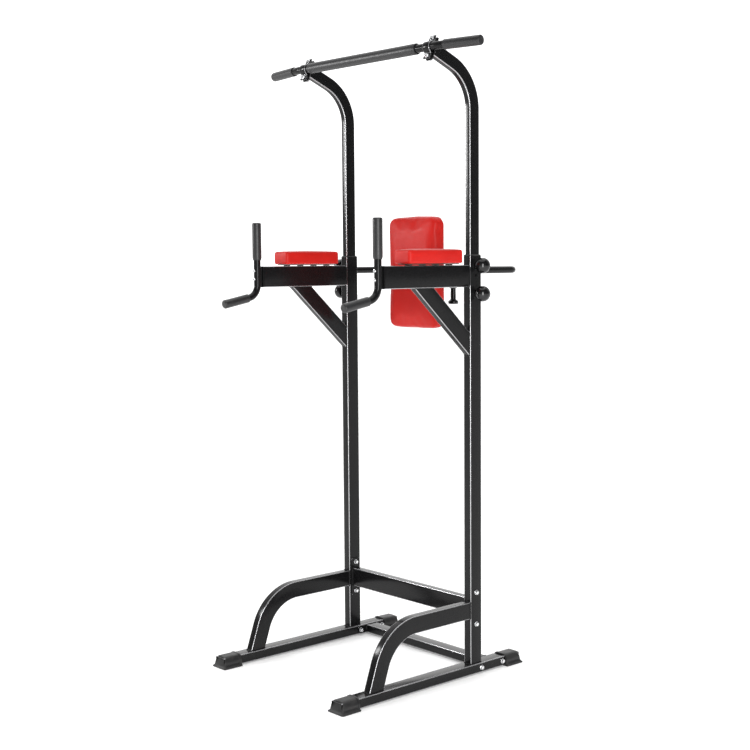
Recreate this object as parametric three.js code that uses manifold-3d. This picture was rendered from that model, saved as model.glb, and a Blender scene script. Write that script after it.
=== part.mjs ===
// Power tower: a free-standing frame for pull-ups, dips and knee raises.
// Millimetres, +Z up. The user faces -Y; their left side is +X. The origin is on the floor, at the
// middle of the footprint.
import * as THREE from "three";
import { mergeVertices } from "three/addons/utils/BufferGeometryUtils.js";
import Module from "manifold-3d";

const wasm = await Module();
wasm.setup();

// ---- Driving dimensions -------------------------------------------------------------------------

const gap = 0.3; // between pieces that touch
const wall = 1.5; // of every steel tube
const plate = 4; // of every steel plate

// Distances along Y are measured from the uprights' centre plane, and the whole is centred at the end.
const spacing = 660; // between the uprights' centre planes
const half = spacing / 2;

const upright = { width: 33, depth: 54, top: 1480, corner: 4 };
const upper = { width: 24, depth: 46, corner: 4, bottom: 1040, bendAt: 1980, bendRadius: 160, rise: 23 };
const rail = { width: 50, height: 34, bottom: 4, front: -632, rear: 214, corner: 4 };
const railTop = rail.bottom + rail.height;
const railMiddle = rail.bottom + rail.height / 2;

const boot = { width: 66, rim: 80, length: 84, top: 44, rimHeight: 5 };

const crossTube = { depth: 50, height: 30, y: 72, boltPitch: 108, flange: 130 };
const beam = { depth: 30, height: 70, z: 237, boltPitch: 114, flange: 146, flangeWidth: 42 };

const stay = { width: 30, depth: 60, foot: -475, lean: 19, straight: 88, radius: 165 };

const arm = { width: 30, height: 76, top: 1448, front: -421, corner: 5 };
const brace = { width: 25, depth: 60, slope: 42.6, y: -134, z: 1274 };

const bolt = { shank: 8, head: 13, headHeight: 5.5, washer: 16, washerHeight: 1.6, nutHeight: 6.5, hole: 9 };

const bar = { diameter: 28, reach: 545, bendAt: 360, sweep: 7, dip: 8, bendRadius: 150 };
const sleeve = { diameter: 38, from: -304, to: 272 };
const endGrip = { diameter: 34, length: 150, cap: 5 };

const saddle = { width: 30, thickness: 4, boltPitch: 64, ear: 10, plateHeight: 84 };

const knob = { head: 54, halfDepth: 24, neck: 22, reach: 58, shank: 10, high: 1446, low: 1349, spareHole: 1412 };
const boss = { diameter: 26, height: 10 }; // the threaded bosses that the lock knobs screw into

const forearm = { width: 84, front: -334, rear: -82, board: 6, thickness: 48, boardInset: 20 };
const handle = { diameter: 25, y: -438, top: 1598, bendAt: 1382, radius: 48, turn: 79, reach: 106 };
const handGrip = { diameter: 33, bottom: 1470, top: 1605 };
const dipGrip = { diameter: 31, length: 108 };
const handleScrew = { high: 1432, low: 1402, shank: 6, head: 11, headHeight: 4.5, hole: 7 };

const rearBar = { diameter: 25, z: 1430, y: 228, bendRadius: 40 };
const slideSleeve = { size: 54, wall: 2.5, length: 96, y: 204 };
const slide = { size: 48, rear: 332, plateWidth: 150, plateHeight: 190 };
const backrest = { width: 250, bottom: 1222, top: 1620, front: 21, thickness: 45, board: 12, inset: 18 };
const pullKnob = { y: 234, flange: 28, stem: 20, base: 38, length: 64, shank: 10 };

const frontmost = rail.front - 8;
const rearmost = slide.rear + 4;
const centreY = (frontmost + rearmost) / 2;

// ---- Materials ----------------------------------------------------------------------------------

const material = (color, roughness, metalness) =>
  new THREE.MeshStandardMaterial({ color, roughness, metalness });

const blackSteel = material(0x1c1c1e, 0.45, 0.3);
const zincSteel = material(0xb9bcc0, 0.35, 0.9);
const blackRubber = material(0x161616, 0.85, 0);
const greyFoam = material(0x3a3b3d, 0.8, 0);
const blackPlastic = material(0x121214, 0.4, 0);
const redVinyl = material(0xd92a22, 0.5, 0);
const boardWood = material(0x2a2421, 0.8, 0);

// ---- Solids: cutting and joining ----------------------------------------------------------------

function toSolid(geometry) {
  const bare = geometry.clone();
  bare.deleteAttribute("normal");
  bare.deleteAttribute("uv");
  const merged = mergeVertices(bare, 1e-4);
  return new wasm.Manifold(
    new wasm.Mesh({
      numProp: 3,
      vertProperties: new Float32Array(merged.attributes.position.array),
      triVerts: new Uint32Array(merged.index.array),
    }),
  );
}

function toGeometry(solid) {
  const mesh = solid.getMesh();
  const geometry = new THREE.BufferGeometry();
  geometry.setAttribute("position", new THREE.BufferAttribute(mesh.vertProperties, 3));
  geometry.setIndex(new THREE.BufferAttribute(mesh.triVerts, 1));
  geometry.computeVertexNormals();
  return geometry;
}

const join = (...geometries) =>
  toGeometry(geometries.map(toSolid).reduce((whole, piece) => whole.add(piece)));

const cut = (geometry, ...tools) =>
  toGeometry(tools.map(toSolid).reduce((rest, tool) => rest.subtract(tool), toSolid(geometry)));

// ---- Sections and sweeps ------------------------------------------------------------------------

const xAxis = new THREE.Vector3(1, 0, 0);
const yAxis = new THREE.Vector3(0, 1, 0);
const zAxis = new THREE.Vector3(0, 0, 1);
const sideways = new THREE.Matrix4().makeBasis(yAxis, zAxis, xAxis); // sketch x, y become Y, Z

function roundedRectangle(width, height, corner) {
  const right = width / 2 - corner;
  const high = height / 2 - corner;
  const shape = new THREE.Shape();
  shape.absarc(right, high, corner, 0, Math.PI / 2);
  shape.absarc(-right, high, corner, Math.PI / 2, Math.PI);
  shape.absarc(-right, -high, corner, Math.PI, Math.PI * 1.5);
  shape.absarc(right, -high, corner, Math.PI * 1.5, Math.PI * 2);
  shape.closePath();
  return shape;
}

function boxTube(width, height, corner, thickness = wall) {
  const shape = roundedRectangle(width, height, corner);
  const inner = Math.max(corner - thickness, 1);
  shape.holes.push(roundedRectangle(width - 2 * thickness, height - 2 * thickness, inner));
  return shape;
}

function circle(diameter) {
  const shape = new THREE.Shape();
  shape.absarc(0, 0, diameter / 2, 0, Math.PI * 2);
  return shape;
}

function roundTube(diameter, thickness = wall) {
  const shape = circle(diameter);
  shape.holes.push(circle(diameter - 2 * thickness));
  return shape;
}

// A section pushed straight along one axis. Its x and y lie along: X and Z for a push along Y,
// Y and Z for a push along X, and X and Y for a push along Z.
function push(shape, axis, from, to, curveSegments = 1) {
  const geometry = new THREE.ExtrudeGeometry(shape, { depth: to - from, bevelEnabled: false, curveSegments });
  if (axis === "x") {
    return geometry.applyMatrix4(sideways).translate(from, 0, 0);
  }
  if (axis === "y") {
    return geometry.rotateX(Math.PI / 2).translate(0, to, 0);
  }
  return geometry.translate(0, 0, from);
}

function block(xMin, xMax, yMin, yMax, zMin, zMax) {
  const geometry = new THREE.BoxGeometry(xMax - xMin, yMax - yMin, zMax - zMin);
  return geometry.translate((xMin + xMax) / 2, (yMin + yMax) / 2, (zMin + zMax) / 2);
}

// Straight runs and bends laid end to end in the sketch plane, stepped only where the direction changes.
class BentPath extends THREE.Curve {
  constructor(start, headingDegrees, legs) {
    super();
    const point = new THREE.Vector3(start[0], start[1], 0);
    let heading = THREE.MathUtils.degToRad(headingDegrees);
    const direction = () => new THREE.Vector3(Math.cos(heading), Math.sin(heading), 0);
    this.stations = [{ point: point.clone(), tangent: direction() }];
    for (const leg of legs) {
      const steps = leg.run ? 1 : leg.steps;
      const turn = leg.run ? 0 : THREE.MathUtils.degToRad(leg.turn) / steps;
      const chord = leg.run ?? 2 * leg.radius * Math.sin(Math.abs(turn) / 2);
      for (let step = 0; step < steps; step += 1) {
        heading += turn / 2;
        point.addScaledVector(direction(), chord);
        heading += turn / 2;
        this.stations.push({ point: point.clone(), tangent: direction() });
      }
    }
    this.steps = this.stations.length - 1;
  }
  getPointAt(share) {
    return this.stations[Math.round(share * this.steps)].point.clone();
  }
  getTangentAt(share) {
    return this.stations[Math.round(share * this.steps)].tangent.clone();
  }
}

// A section swept along a path in the sketch plane: its x is across the plane and its y lies in it.
const sweep = (shape, path, curveSegments = 1) =>
  new THREE.ExtrudeGeometry(shape, {
    steps: path.steps,
    extrudePath: path,
    bevelEnabled: false,
    curveSegments,
  });

// A turned piece: [radius, distance along its axis] points, with the axis laid along X or Z.
function turned(profile, axis, segments = 16) {
  const points = profile.map(([radius, along]) => new THREE.Vector2(radius, along));
  const geometry = new THREE.LatheGeometry(points, segments);
  return axis === "x" ? geometry.rotateZ(-Math.PI / 2) : geometry.rotateX(Math.PI / 2);
}

const rod = (diameter, axis, from, to, segments = 12) =>
  turned([[0, from], [diameter / 2, from], [diameter / 2, to], [0, to]], axis, segments);

function hexagon(acrossFlats, from, to) {
  const geometry = new THREE.CylinderGeometry(1, 1, to - from, 6).translate(0, (from + to) / 2, 0);
  const radius = acrossFlats / Math.sqrt(3);
  return geometry.scale(radius, 1, radius).rotateZ(-Math.PI / 2);
}

function mirrored(geometry) {
  const flipped = toGeometry(toSolid(geometry));
  flipped.scale(-1, 1, 1);
  const index = flipped.index.array;
  for (let corner = 0; corner < index.length; corner += 3) {
    [index[corner], index[corner + 1]] = [index[corner + 1], index[corner]];
  }
  return flipped;
}

// ---- Assembly helpers ---------------------------------------------------------------------------

const root = new THREE.Group();
const tower = new THREE.Group();
tower.position.y = -centreY;
root.add(tower);

function place(name, geometry, finish, parent = tower) {
  const mesh = new THREE.Mesh(geometry, finish);
  mesh.name = name;
  parent.add(mesh);
  return mesh;
}

// The left piece is drawn about its upright's centre plane with +X outwards; the right one is its mirror image.
function placePair(name, geometry, finish) {
  place(`${name}_left`, geometry, finish).position.x = half;
  place(`${name}_right`, mirrored(geometry), finish).position.x = -half;
}

// A bolt along X: its head is outside at x = outer, and its nut is inside at x = inner.
function throughBolt(outer, inner) {
  const headStart = outer + gap;
  const nutStart = inner - gap;
  const radius = bolt.washer / 2;
  const shank = bolt.shank / 2;
  const body = turned(
    [
      [0, nutStart - bolt.washerHeight - bolt.nutHeight - 2],
      [shank, nutStart - bolt.washerHeight - bolt.nutHeight - 2],
      [shank, nutStart - bolt.washerHeight],
      [radius, nutStart - bolt.washerHeight],
      [radius, nutStart],
      [shank, nutStart],
      [shank, headStart],
      [radius, headStart],
      [radius, headStart + bolt.washerHeight],
      [0, headStart + bolt.washerHeight],
    ],
    "x",
    8,
  );
  const head = hexagon(bolt.head, headStart + 1, headStart + bolt.washerHeight + bolt.headHeight);
  const nut = hexagon(bolt.head, nutStart - bolt.washerHeight - bolt.nutHeight, nutStart - 1);
  return join(body, head, nut);
}

const boltHole = (y, z) => rod(bolt.hole, "x", -100, 100, 10).translate(0, y, z);

// ---- Base: rails, boots, cross tube, cross beam -------------------------------------------------

function makeRail() {
  const tube = push(boxTube(rail.width, rail.height, rail.corner), "y", rail.front, rail.rear);
  tube.translate(0, 0, rail.bottom + rail.height / 2);
  const holes = [-1, 1].map((end) => boltHole(crossTube.y + (end * crossTube.boltPitch) / 2, railMiddle));
  return cut(tube, ...holes);
}

// A boot for the rear end of a rail: a rounded shoe with a flared rim, socketed over the tube.
function makeBoot() {
  const back = rail.rear + 8;
  const middle = back - boot.length / 2;
  const rim = new THREE.ExtrudeGeometry(roundedRectangle(boot.rim - 2, boot.length - 2, 8), {
    depth: boot.rimHeight - 1,
    bevelThickness: 1,
    bevelSize: 1,
    bevelSegments: 1,
    bevelOffset: 0,
    curveSegments: 1,
  }).translate(0, middle, 1);
  const bevel = 7;
  const body = new THREE.ExtrudeGeometry(
    roundedRectangle(boot.width - 2 * bevel, boot.length - 2 * bevel - 2, 6),
    {
      depth: boot.top - 2 * bevel,
      bevelThickness: bevel,
      bevelSize: bevel,
      bevelSegments: 2,
      curveSegments: 1,
    },
  ).translate(0, middle, bevel);
  const foot = block(-boot.width / 2, boot.width / 2, middle - 38, middle + 38, 1, 10);
  const socket = block(
    -rail.width / 2 - gap,
    rail.width / 2 + gap,
    -100,
    rail.rear + gap,
    rail.bottom - gap,
    railTop + gap,
  );
  return cut(join(rim, body, foot), socket);
}

function makeCrossTube() {
  const reach = half - rail.width / 2 - gap;
  const section = boxTube(crossTube.depth, crossTube.height, 4);
  const tube = push(section, "x", -reach + 1, reach - 1).translate(0, crossTube.y, railMiddle);
  const flangeSection = roundedRectangle(crossTube.flange, crossTube.height, 6);
  const flanges = [-reach, reach - plate].map((start) =>
    push(flangeSection, "x", start, start + plate).translate(0, crossTube.y, railMiddle),
  );
  const bore = push(
    roundedRectangle(crossTube.depth - 2 * wall, crossTube.height - 2 * wall, 2),
    "x",
    -half,
    half,
  ).translate(0, crossTube.y, railMiddle);
  const holes = [-1, 1].map((end) =>
    rod(bolt.hole, "x", -half, half, 10).translate(0, crossTube.y + (end * crossTube.boltPitch) / 2, railMiddle),
  );
  return cut(join(tube, ...flanges), bore, ...holes);
}

function makeCrossBeam() {
  const reach = half - upright.width / 2 - gap;
  const tube = push(boxTube(beam.depth, beam.height, 4), "x", -reach + 1, reach - 1).translate(0, 0, beam.z);
  const flangeSection = roundedRectangle(beam.flangeWidth, beam.flange, 6);
  const flanges = [-reach, reach - plate].map((start) =>
    push(flangeSection, "x", start, start + plate).translate(0, 0, beam.z),
  );
  const bore = push(
    roundedRectangle(beam.depth - 2 * wall, beam.height - 2 * wall, 2),
    "x",
    -half,
    half,
  ).translate(0, 0, beam.z);
  const holes = [-1, 1].map((end) =>
    rod(bolt.hole, "x", -half, half, 10).translate(0, 0, beam.z + (end * beam.boltPitch) / 2),
  );
  return cut(join(tube, ...flanges), bore, ...holes);
}

placePair("floor_rail", makeRail(), blackSteel);

for (const [side, x] of [["left", half], ["right", -half]]) {
  place(`rear_boot_${side}`, makeBoot(), blackRubber).position.x = x;
  const front = place(`front_boot_${side}`, makeBoot(), blackRubber);
  front.rotation.z = Math.PI;
  front.position.set(x, rail.front + rail.rear, 0);
}

place("floor_cross_tube", makeCrossTube(), blackSteel);
place("lower_cross_beam", makeCrossBeam(), blackSteel);

for (const [end, sign] of [["front", -1], ["rear", 1]]) {
  const shape = throughBolt(rail.width / 2, -rail.width / 2 - gap - plate);
  shape.translate(0, crossTube.y + (sign * crossTube.boltPitch) / 2, railMiddle);
  placePair(`rail_bolt_${end}`, shape, zincSteel);
}

for (const [end, sign] of [["upper", 1], ["lower", -1]]) {
  const shape = throughBolt(upright.width / 2, -upright.width / 2 - gap - plate);
  shape.translate(0, 0, beam.z + (sign * beam.boltPitch) / 2);
  placePair(`beam_bolt_${end}`, shape, zincSteel);
}

// ---- Uprights, guide bushes, arched stays -------------------------------------------------------

function makeUpright() {
  const tube = push(boxTube(upright.width, upright.depth, upright.corner), "z", railTop + gap, upright.top);
  const face = upright.width / 2;
  const knobBoss = (z) => rod(boss.diameter, "x", face - 1, face + boss.height, 16).translate(0, 0, z);
  const knobHole = (z) => rod(knob.shank + 1, "x", 0, 100, 12).translate(0, 0, z);
  return cut(
    join(tube, knobBoss(knob.high), knobBoss(knob.low)),
    boltHole(0, beam.z - beam.boltPitch / 2),
    boltHole(0, beam.z + beam.boltPitch / 2),
    knobHole(knob.high),
    knobHole(knob.low),
    rod(bolt.hole, "x", 0, 100, 10).translate(0, 0, knob.spareHole),
  );
}

// A plastic collar that sits on the upright's mouth and lines it.
function makeGuideBush() {
  const lining = push(
    roundedRectangle(upright.width - 2 * wall - 2 * gap, upright.depth - 2 * wall - 2 * gap, 2),
    "z",
    upright.top - 26,
    upright.top + 2,
  );
  const brim = push(
    roundedRectangle(upright.width + 1, upright.depth + 1, upright.corner),
    "z",
    upright.top + gap,
    upright.top + 4,
  );
  const bore = push(
    roundedRectangle(upper.width + 1, upper.depth + 1, upper.corner),
    "z",
    upright.top - 50,
    upright.top + 50,
  );
  return cut(join(lining, brim), bore);
}

function makeStay() {
  const path = new BentPath([stay.foot, railTop - 12], 90 - stay.lean, [
    { run: stay.straight + 12 },
    { radius: stay.radius, turn: stay.lean - 90, steps: 7 },
    { run: -stay.foot },
  ]);
  const tube = sweep(boxTube(stay.width, stay.depth, 4), path).applyMatrix4(sideways);
  const below = block(-60, 60, -700, 300, -50, railTop + gap);
  const behind = block(-60, 60, -upright.depth / 2 - gap, 300, -50, 500);
  return cut(tube, below, behind);
}

placePair("upright", makeUpright(), blackSteel);
placePair("guide_bush", makeGuideBush(), blackPlastic);
placePair("arched_stay", makeStay(), blackSteel);

// ---- Arms, braces, forearm rests, handles -------------------------------------------------------

const armMiddle = arm.top - arm.height / 2;
const uprightFront = -upright.depth / 2 - gap;

function makeArm() {
  const shell = push(boxTube(arm.width, arm.height, arm.corner), "y", arm.front, uprightFront);
  const endPlate = push(roundedRectangle(arm.width, arm.height, arm.corner), "y", arm.front, arm.front + plate);
  const holes = [handleScrew.high, handleScrew.low].map((z) =>
    rod(handleScrew.hole, "z", -60, 60, 10).rotateX(Math.PI / 2).translate(0, arm.front, z),
  );
  const solid = join(shell.translate(0, 0, armMiddle), endPlate.translate(0, 0, armMiddle));
  return cut(solid, ...holes);
}

function makeBrace() {
  const long = 400;
  const heading = 180 - brace.slope;
  const tilt = THREE.MathUtils.degToRad(heading);
  const start = [brace.y - (Math.cos(tilt) * long) / 2, brace.z - (Math.sin(tilt) * long) / 2];
  const path = new BentPath(start, heading, [{ run: long }]);
  const tube = sweep(boxTube(brace.width, brace.depth, 4), path).applyMatrix4(sideways);
  const above = block(-60, 60, -700, 300, arm.top - arm.height - gap, 1700);
  const behind = block(-60, 60, uprightFront, 300, 900, 1700);
  return cut(tube, above, behind);
}

function cushion(width, depth, height, corner, bevel) {
  return new THREE.ExtrudeGeometry(roundedRectangle(width - 2 * bevel, depth - 2 * bevel, corner), {
    depth: height - 2 * bevel,
    bevelThickness: bevel,
    bevelSize: bevel,
    bevelSegments: 2,
    curveSegments: 2,
  }).translate(0, 0, bevel);
}

const restMiddle = (forearm.front + forearm.rear) / 2;
const restLength = forearm.rear - forearm.front;
const boardBottom = arm.top + gap;
const padBottom = boardBottom + forearm.board + gap;

function makeForearmBoard() {
  const outline = roundedRectangle(forearm.width - forearm.boardInset, restLength - forearm.boardInset, 8);
  return push(outline, "z", boardBottom, boardBottom + forearm.board, 2).translate(0, restMiddle, 0);
}

const makeForearmPad = () =>
  cushion(forearm.width, restLength, forearm.thickness, 6, 9).translate(0, restMiddle, padBottom);

const handlePath = new BentPath([handle.y, handle.top], -90, [
  { run: handle.top - handle.bendAt },
  { radius: handle.radius, turn: -handle.turn, steps: 5 },
  { run: handle.reach },
]);

const handleHole = (z) => rod(handleScrew.hole, "z", -60, 60, 10).rotateX(Math.PI / 2).translate(0, handle.y, z);

const makeHandle = () =>
  cut(
    sweep(roundTube(handle.diameter), handlePath, 5).applyMatrix4(sideways),
    handleHole(handleScrew.high),
    handleHole(handleScrew.low),
  );

// A closed-ended sleeve over a tube end: its open mouth is at 0 and its closed end at length.
function gripProfile(bore, outside, length, cap) {
  const inner = bore / 2 + 2 * gap;
  const outer = outside / 2;
  return [
    [inner, 0],
    [outer, 0],
    [outer, length - 4],
    [outer - 1.5, length - 1],
    [outer - 4, length],
    [0, length],
    [0, length - cap + gap],
    [inner, length - cap + gap],
    [inner, 0],
  ];
}

function makeHandGrip() {
  const length = handGrip.top - handGrip.bottom;
  const cap = handGrip.top - handle.top;
  const profile = gripProfile(handle.diameter, handGrip.diameter, length, cap);
  return turned(profile, "z", 16).translate(0, handle.y, handGrip.bottom);
}

// The grip is turned about X, with its closed end towards -Y and down once it is tipped along the tube.
function makeDipGrip() {
  const end = handlePath.stations[handlePath.steps];
  const down = Math.atan2(-end.tangent.y, -end.tangent.x);
  const profile = gripProfile(handle.diameter, dipGrip.diameter, dipGrip.length, 6);
  const grip = turned(profile, "z", 16).translate(0, 0, 6 - dipGrip.length);
  return grip.rotateX(Math.PI / 2 + down).translate(0, end.point.x, end.point.y);
}

// Two cap screws that come through the handle tube and the arm's end plate into one nut plate inside.
function makeHandleScrews() {
  const screw = (z) => {
    const front = handle.y - handle.diameter / 2 - gap;
    const profile = [
      [0, front - handleScrew.headHeight],
      [handleScrew.head / 2, front - handleScrew.headHeight + 1],
      [handleScrew.head / 2, front],
      [handleScrew.shank / 2, front],
      [handleScrew.shank / 2, arm.front + plate + 6],
      [0, arm.front + plate + 6],
    ];
    const points = profile.map(([radius, along]) => new THREE.Vector2(radius, along));
    return new THREE.LatheGeometry(points, 12).translate(0, 0, z);
  };
  const start = arm.front + plate + gap;
  const nutPlate = block(-9, 9, start, start + plate, handleScrew.low - 10, handleScrew.high + 10);
  return join(nutPlate, screw(handleScrew.high), screw(handleScrew.low));
}

placePair("arm", makeArm(), blackSteel);
placePair("arm_brace", makeBrace(), blackSteel);
placePair("forearm_board", makeForearmBoard(), boardWood);
placePair("forearm_pad", makeForearmPad(), redVinyl);
placePair("dip_handle", makeHandle(), blackSteel);
placePair("hand_grip", makeHandGrip(), greyFoam);
placePair("dip_grip", makeDipGrip(), greyFoam);
placePair("handle_screws", makeHandleScrews(), zincSteel);

// ---- Upper tubes, clamps and pull-up bar --------------------------------------------------------

const upperPath = new BentPath([0, upper.bottom], 90, [
  { run: upper.bendAt - upper.bottom },
  { radius: upper.bendRadius, turn: 90 - upper.rise, steps: 8 },
  { run: 96 },
]);
const tip = upperPath.stations[upperPath.steps];
const tipAngle = Math.atan2(tip.tangent.y, tip.tangent.x);
const barOffset = plate + gap + bar.diameter / 2;
const barY = tip.point.x + tip.tangent.x * barOffset;
const barZ = tip.point.y + tip.tangent.y * barOffset;

// Clamp pieces are drawn with their sketch x pointing out of the tube's tip, and turned to its angle.
const atTip = (geometry) => geometry.rotateZ(tipAngle).translate(tip.point.x, tip.point.y, 0).applyMatrix4(sideways);

const clampHole = (side) =>
  new THREE.CylinderGeometry(bolt.hole / 2, bolt.hole / 2, 120, 10)
    .rotateZ(Math.PI / 2)
    .translate(0, (side * saddle.boltPitch) / 2, 0);

function makeUpperTube() {
  const tube = sweep(boxTube(upper.width, upper.depth, upper.corner), upperPath).applyMatrix4(sideways);
  const section = roundedRectangle(saddle.width, saddle.plateHeight, 5);
  const endPlate = new THREE.ExtrudeGeometry(section, { depth: plate + 1, bevelEnabled: false, curveSegments: 2 });
  endPlate.rotateY(Math.PI / 2).translate(-1, 0, 0);
  return cut(join(tube, atTip(endPlate)), atTip(clampHole(1)), atTip(clampHole(-1)));
}

// A half clamp: two flat ears and a hoop over the bar.
function makeSaddle() {
  const inner = bar.diameter / 2 + gap;
  const outer = inner + saddle.thickness;
  const front = barOffset;
  const ear = saddle.boltPitch / 2 + saddle.ear;
  const earBack = front - 5;
  const shape = new THREE.Shape();
  shape.moveTo(earBack, ear);
  shape.lineTo(earBack, inner + 1);
  shape.lineTo(front, inner);
  shape.absarc(front, 0, inner, Math.PI / 2, -Math.PI / 2, true);
  shape.lineTo(earBack, -inner - 1);
  shape.lineTo(earBack, -ear);
  shape.lineTo(earBack + saddle.thickness, -ear);
  shape.lineTo(earBack + saddle.thickness + 2, -outer - 1);
  shape.absarc(front, 0, outer, -Math.PI / 3, Math.PI / 3);
  shape.lineTo(earBack + saddle.thickness + 2, outer + 1);
  shape.lineTo(earBack + saddle.thickness, ear);
  shape.closePath();
  const hoop = new THREE.ExtrudeGeometry(shape, { depth: saddle.width, bevelEnabled: false, curveSegments: 6 });
  hoop.translate(0, 0, -saddle.width / 2);
  return cut(atTip(hoop), atTip(clampHole(1)), atTip(clampHole(-1)));
}

function makeClampBolt(side) {
  const shape = throughBolt(barOffset - 5 + saddle.thickness + 2, -1);
  return atTip(shape.translate(0, (side * saddle.boltPitch) / 2, 0));
}

// The bar is drawn in a plane tipped about X, so that its swept ends also dip a little.
const barEndRun = bar.reach - bar.bendAt - 18;
const barPath = new BentPath([0, 0], 0, [
  { run: bar.bendAt },
  { radius: bar.bendRadius, turn: bar.sweep, steps: 2 },
  { run: barEndRun },
]);
const barEnd = barPath.stations[barPath.steps];
const barFullPath = new BentPath([-barEnd.point.x, barEnd.point.y], -bar.sweep, [
  { run: barEndRun },
  { radius: bar.bendRadius, turn: bar.sweep, steps: 2 },
  { run: 2 * bar.bendAt },
  { radius: bar.bendRadius, turn: bar.sweep, steps: 2 },
  { run: barEndRun },
]);
const barAngle = -THREE.MathUtils.degToRad(bar.dip);
const onBar = (geometry) => geometry.rotateX(barAngle).translate(0, barY, barZ);

const makeBar = () => onBar(sweep(roundTube(bar.diameter), barFullPath, 6));

function makeBarSleeve() {
  const inner = bar.diameter / 2 + gap;
  const outer = sleeve.diameter / 2;
  const profile = [
    [inner, sleeve.from],
    [outer - 2, sleeve.from],
    [outer, sleeve.from + 2],
    [outer, sleeve.to - 2],
    [outer - 2, sleeve.to],
    [inner, sleeve.to],
    [inner, sleeve.from],
  ];
  return onBar(turned(profile, "x", 20));
}

function makeEndGrip() {
  const profile = gripProfile(bar.diameter, endGrip.diameter, endGrip.length, endGrip.cap);
  const grip = turned(profile, "x", 18).translate(endGrip.cap - endGrip.length, 0, 0);
  const angle = THREE.MathUtils.degToRad(bar.sweep);
  return onBar(grip.rotateZ(angle).translate(barEnd.point.x, barEnd.point.y, 0));
}

placePair("upper_tube", makeUpperTube(), blackSteel);
placePair("bar_saddle", makeSaddle(), blackSteel);
placePair("clamp_bolt_upper", makeClampBolt(1), zincSteel);
placePair("clamp_bolt_lower", makeClampBolt(-1), zincSteel);
place("pull_up_bar", makeBar(), blackSteel);
place("bar_sleeve", makeBarSleeve(), greyFoam);
place("bar_grip_left", makeEndGrip(), greyFoam);
place("bar_grip_right", mirrored(makeEndGrip()), greyFoam);

// ---- Lock knobs on the uprights -----------------------------------------------------------------

// A ball knob on a clamp screw: the screw's tip stops just short of the upper tube.
function makeLockKnob(z) {
  const face = upright.width / 2 + boss.height + gap;
  const centre = upright.width / 2 + knob.reach - knob.halfDepth;
  const ballSteps = 6;
  const ball = [];
  for (let step = 0; step <= ballSteps; step += 1) {
    const angle = Math.PI * 0.8 * (1 - step / ballSteps);
    ball.push([(knob.head / 2) * Math.sin(angle), centre + knob.halfDepth * Math.cos(angle)]);
  }
  ball[ballSteps][0] = 0;
  const profile = [
    [0, upper.width / 2 + gap],
    [knob.shank / 2, upper.width / 2 + gap],
    [knob.shank / 2, face],
    [knob.neck / 2, face],
    [knob.neck / 2, ball[0][1]],
    ...ball,
  ];
  return turned(profile, "x", 12).translate(0, 0, z);
}

placePair("upper_lock_knob", makeLockKnob(knob.high), blackPlastic);
placePair("lower_lock_knob", makeLockKnob(knob.low), blackPlastic);

// ---- Rear tube, sliding backrest ----------------------------------------------------------------

const sleeveTop = rearBar.z - rearBar.diameter / 2 + 1;
const slideZ = sleeveTop - slideSleeve.size / 2;

// The bent tube behind the uprights, with the square sleeve that is welded under its middle.
function makeRearFrame() {
  const start = upright.depth / 2 + gap;
  const side = rearBar.y - start - rearBar.bendRadius;
  const path = new BentPath([half, start], 90, [
    { run: side },
    { radius: rearBar.bendRadius, turn: 90, steps: 5 },
    { run: spacing - 2 * rearBar.bendRadius },
    { radius: rearBar.bendRadius, turn: 90, steps: 5 },
    { run: side },
  ]);
  const tube = sweep(roundTube(rearBar.diameter), path, 5).translate(0, 0, rearBar.z);
  const section = boxTube(slideSleeve.size, slideSleeve.size, 4, slideSleeve.wall);
  const from = slideSleeve.y - slideSleeve.length / 2;
  const square = push(section, "y", from, from + slideSleeve.length).translate(0, 0, slideZ);
  const hole = rod(pullKnob.shank + 1, "z", slideZ - 60, slideZ, 12).translate(0, pullKnob.y, 0);
  return cut(join(tube, square), hole);
}

const slidePlateFront = backrest.front + backrest.thickness + backrest.board + 2 * gap;

// The square tube that carries the backrest, with the plate on its front end.
function makeSlide() {
  const tube = push(boxTube(slide.size, slide.size, 4), "y", slidePlateFront + 1, slide.rear).translate(0, 0, slideZ);
  const face = push(roundedRectangle(slide.plateWidth, slide.plateHeight, 10), "y", 0, plate, 2);
  face.translate(0, slidePlateFront, slideZ);
  const opening = push(roundedRectangle(30, 30, 4), "y", 0, 200).translate(0, 0, slideZ);
  return cut(join(tube, face), opening);
}

function makeSlidePlug() {
  const inside = slide.size - 2 * wall - 2 * gap;
  const stub = push(roundedRectangle(inside, inside, 2), "y", slide.rear - 14, slide.rear + 2);
  const cap = push(roundedRectangle(slide.size, slide.size, 4), "y", slide.rear + gap, slide.rear + 4);
  return join(stub, cap).translate(0, 0, slideZ);
}

const backrestMiddle = (backrest.bottom + backrest.top) / 2;
const backrestHeight = backrest.top - backrest.bottom;

function makeBackrestBoard() {
  const outline = roundedRectangle(backrest.width - 2 * backrest.inset, backrestHeight - 2 * backrest.inset, 24);
  const start = backrest.front + backrest.thickness + gap;
  return push(outline, "y", start, start + backrest.board, 3).translate(0, 0, backrestMiddle);
}

function makeBackrestPad() {
  const pad = cushion(backrest.width, backrestHeight, backrest.thickness, 22, 12);
  return pad.rotateX(Math.PI / 2).translate(0, backrest.front + backrest.thickness, backrestMiddle);
}

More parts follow.
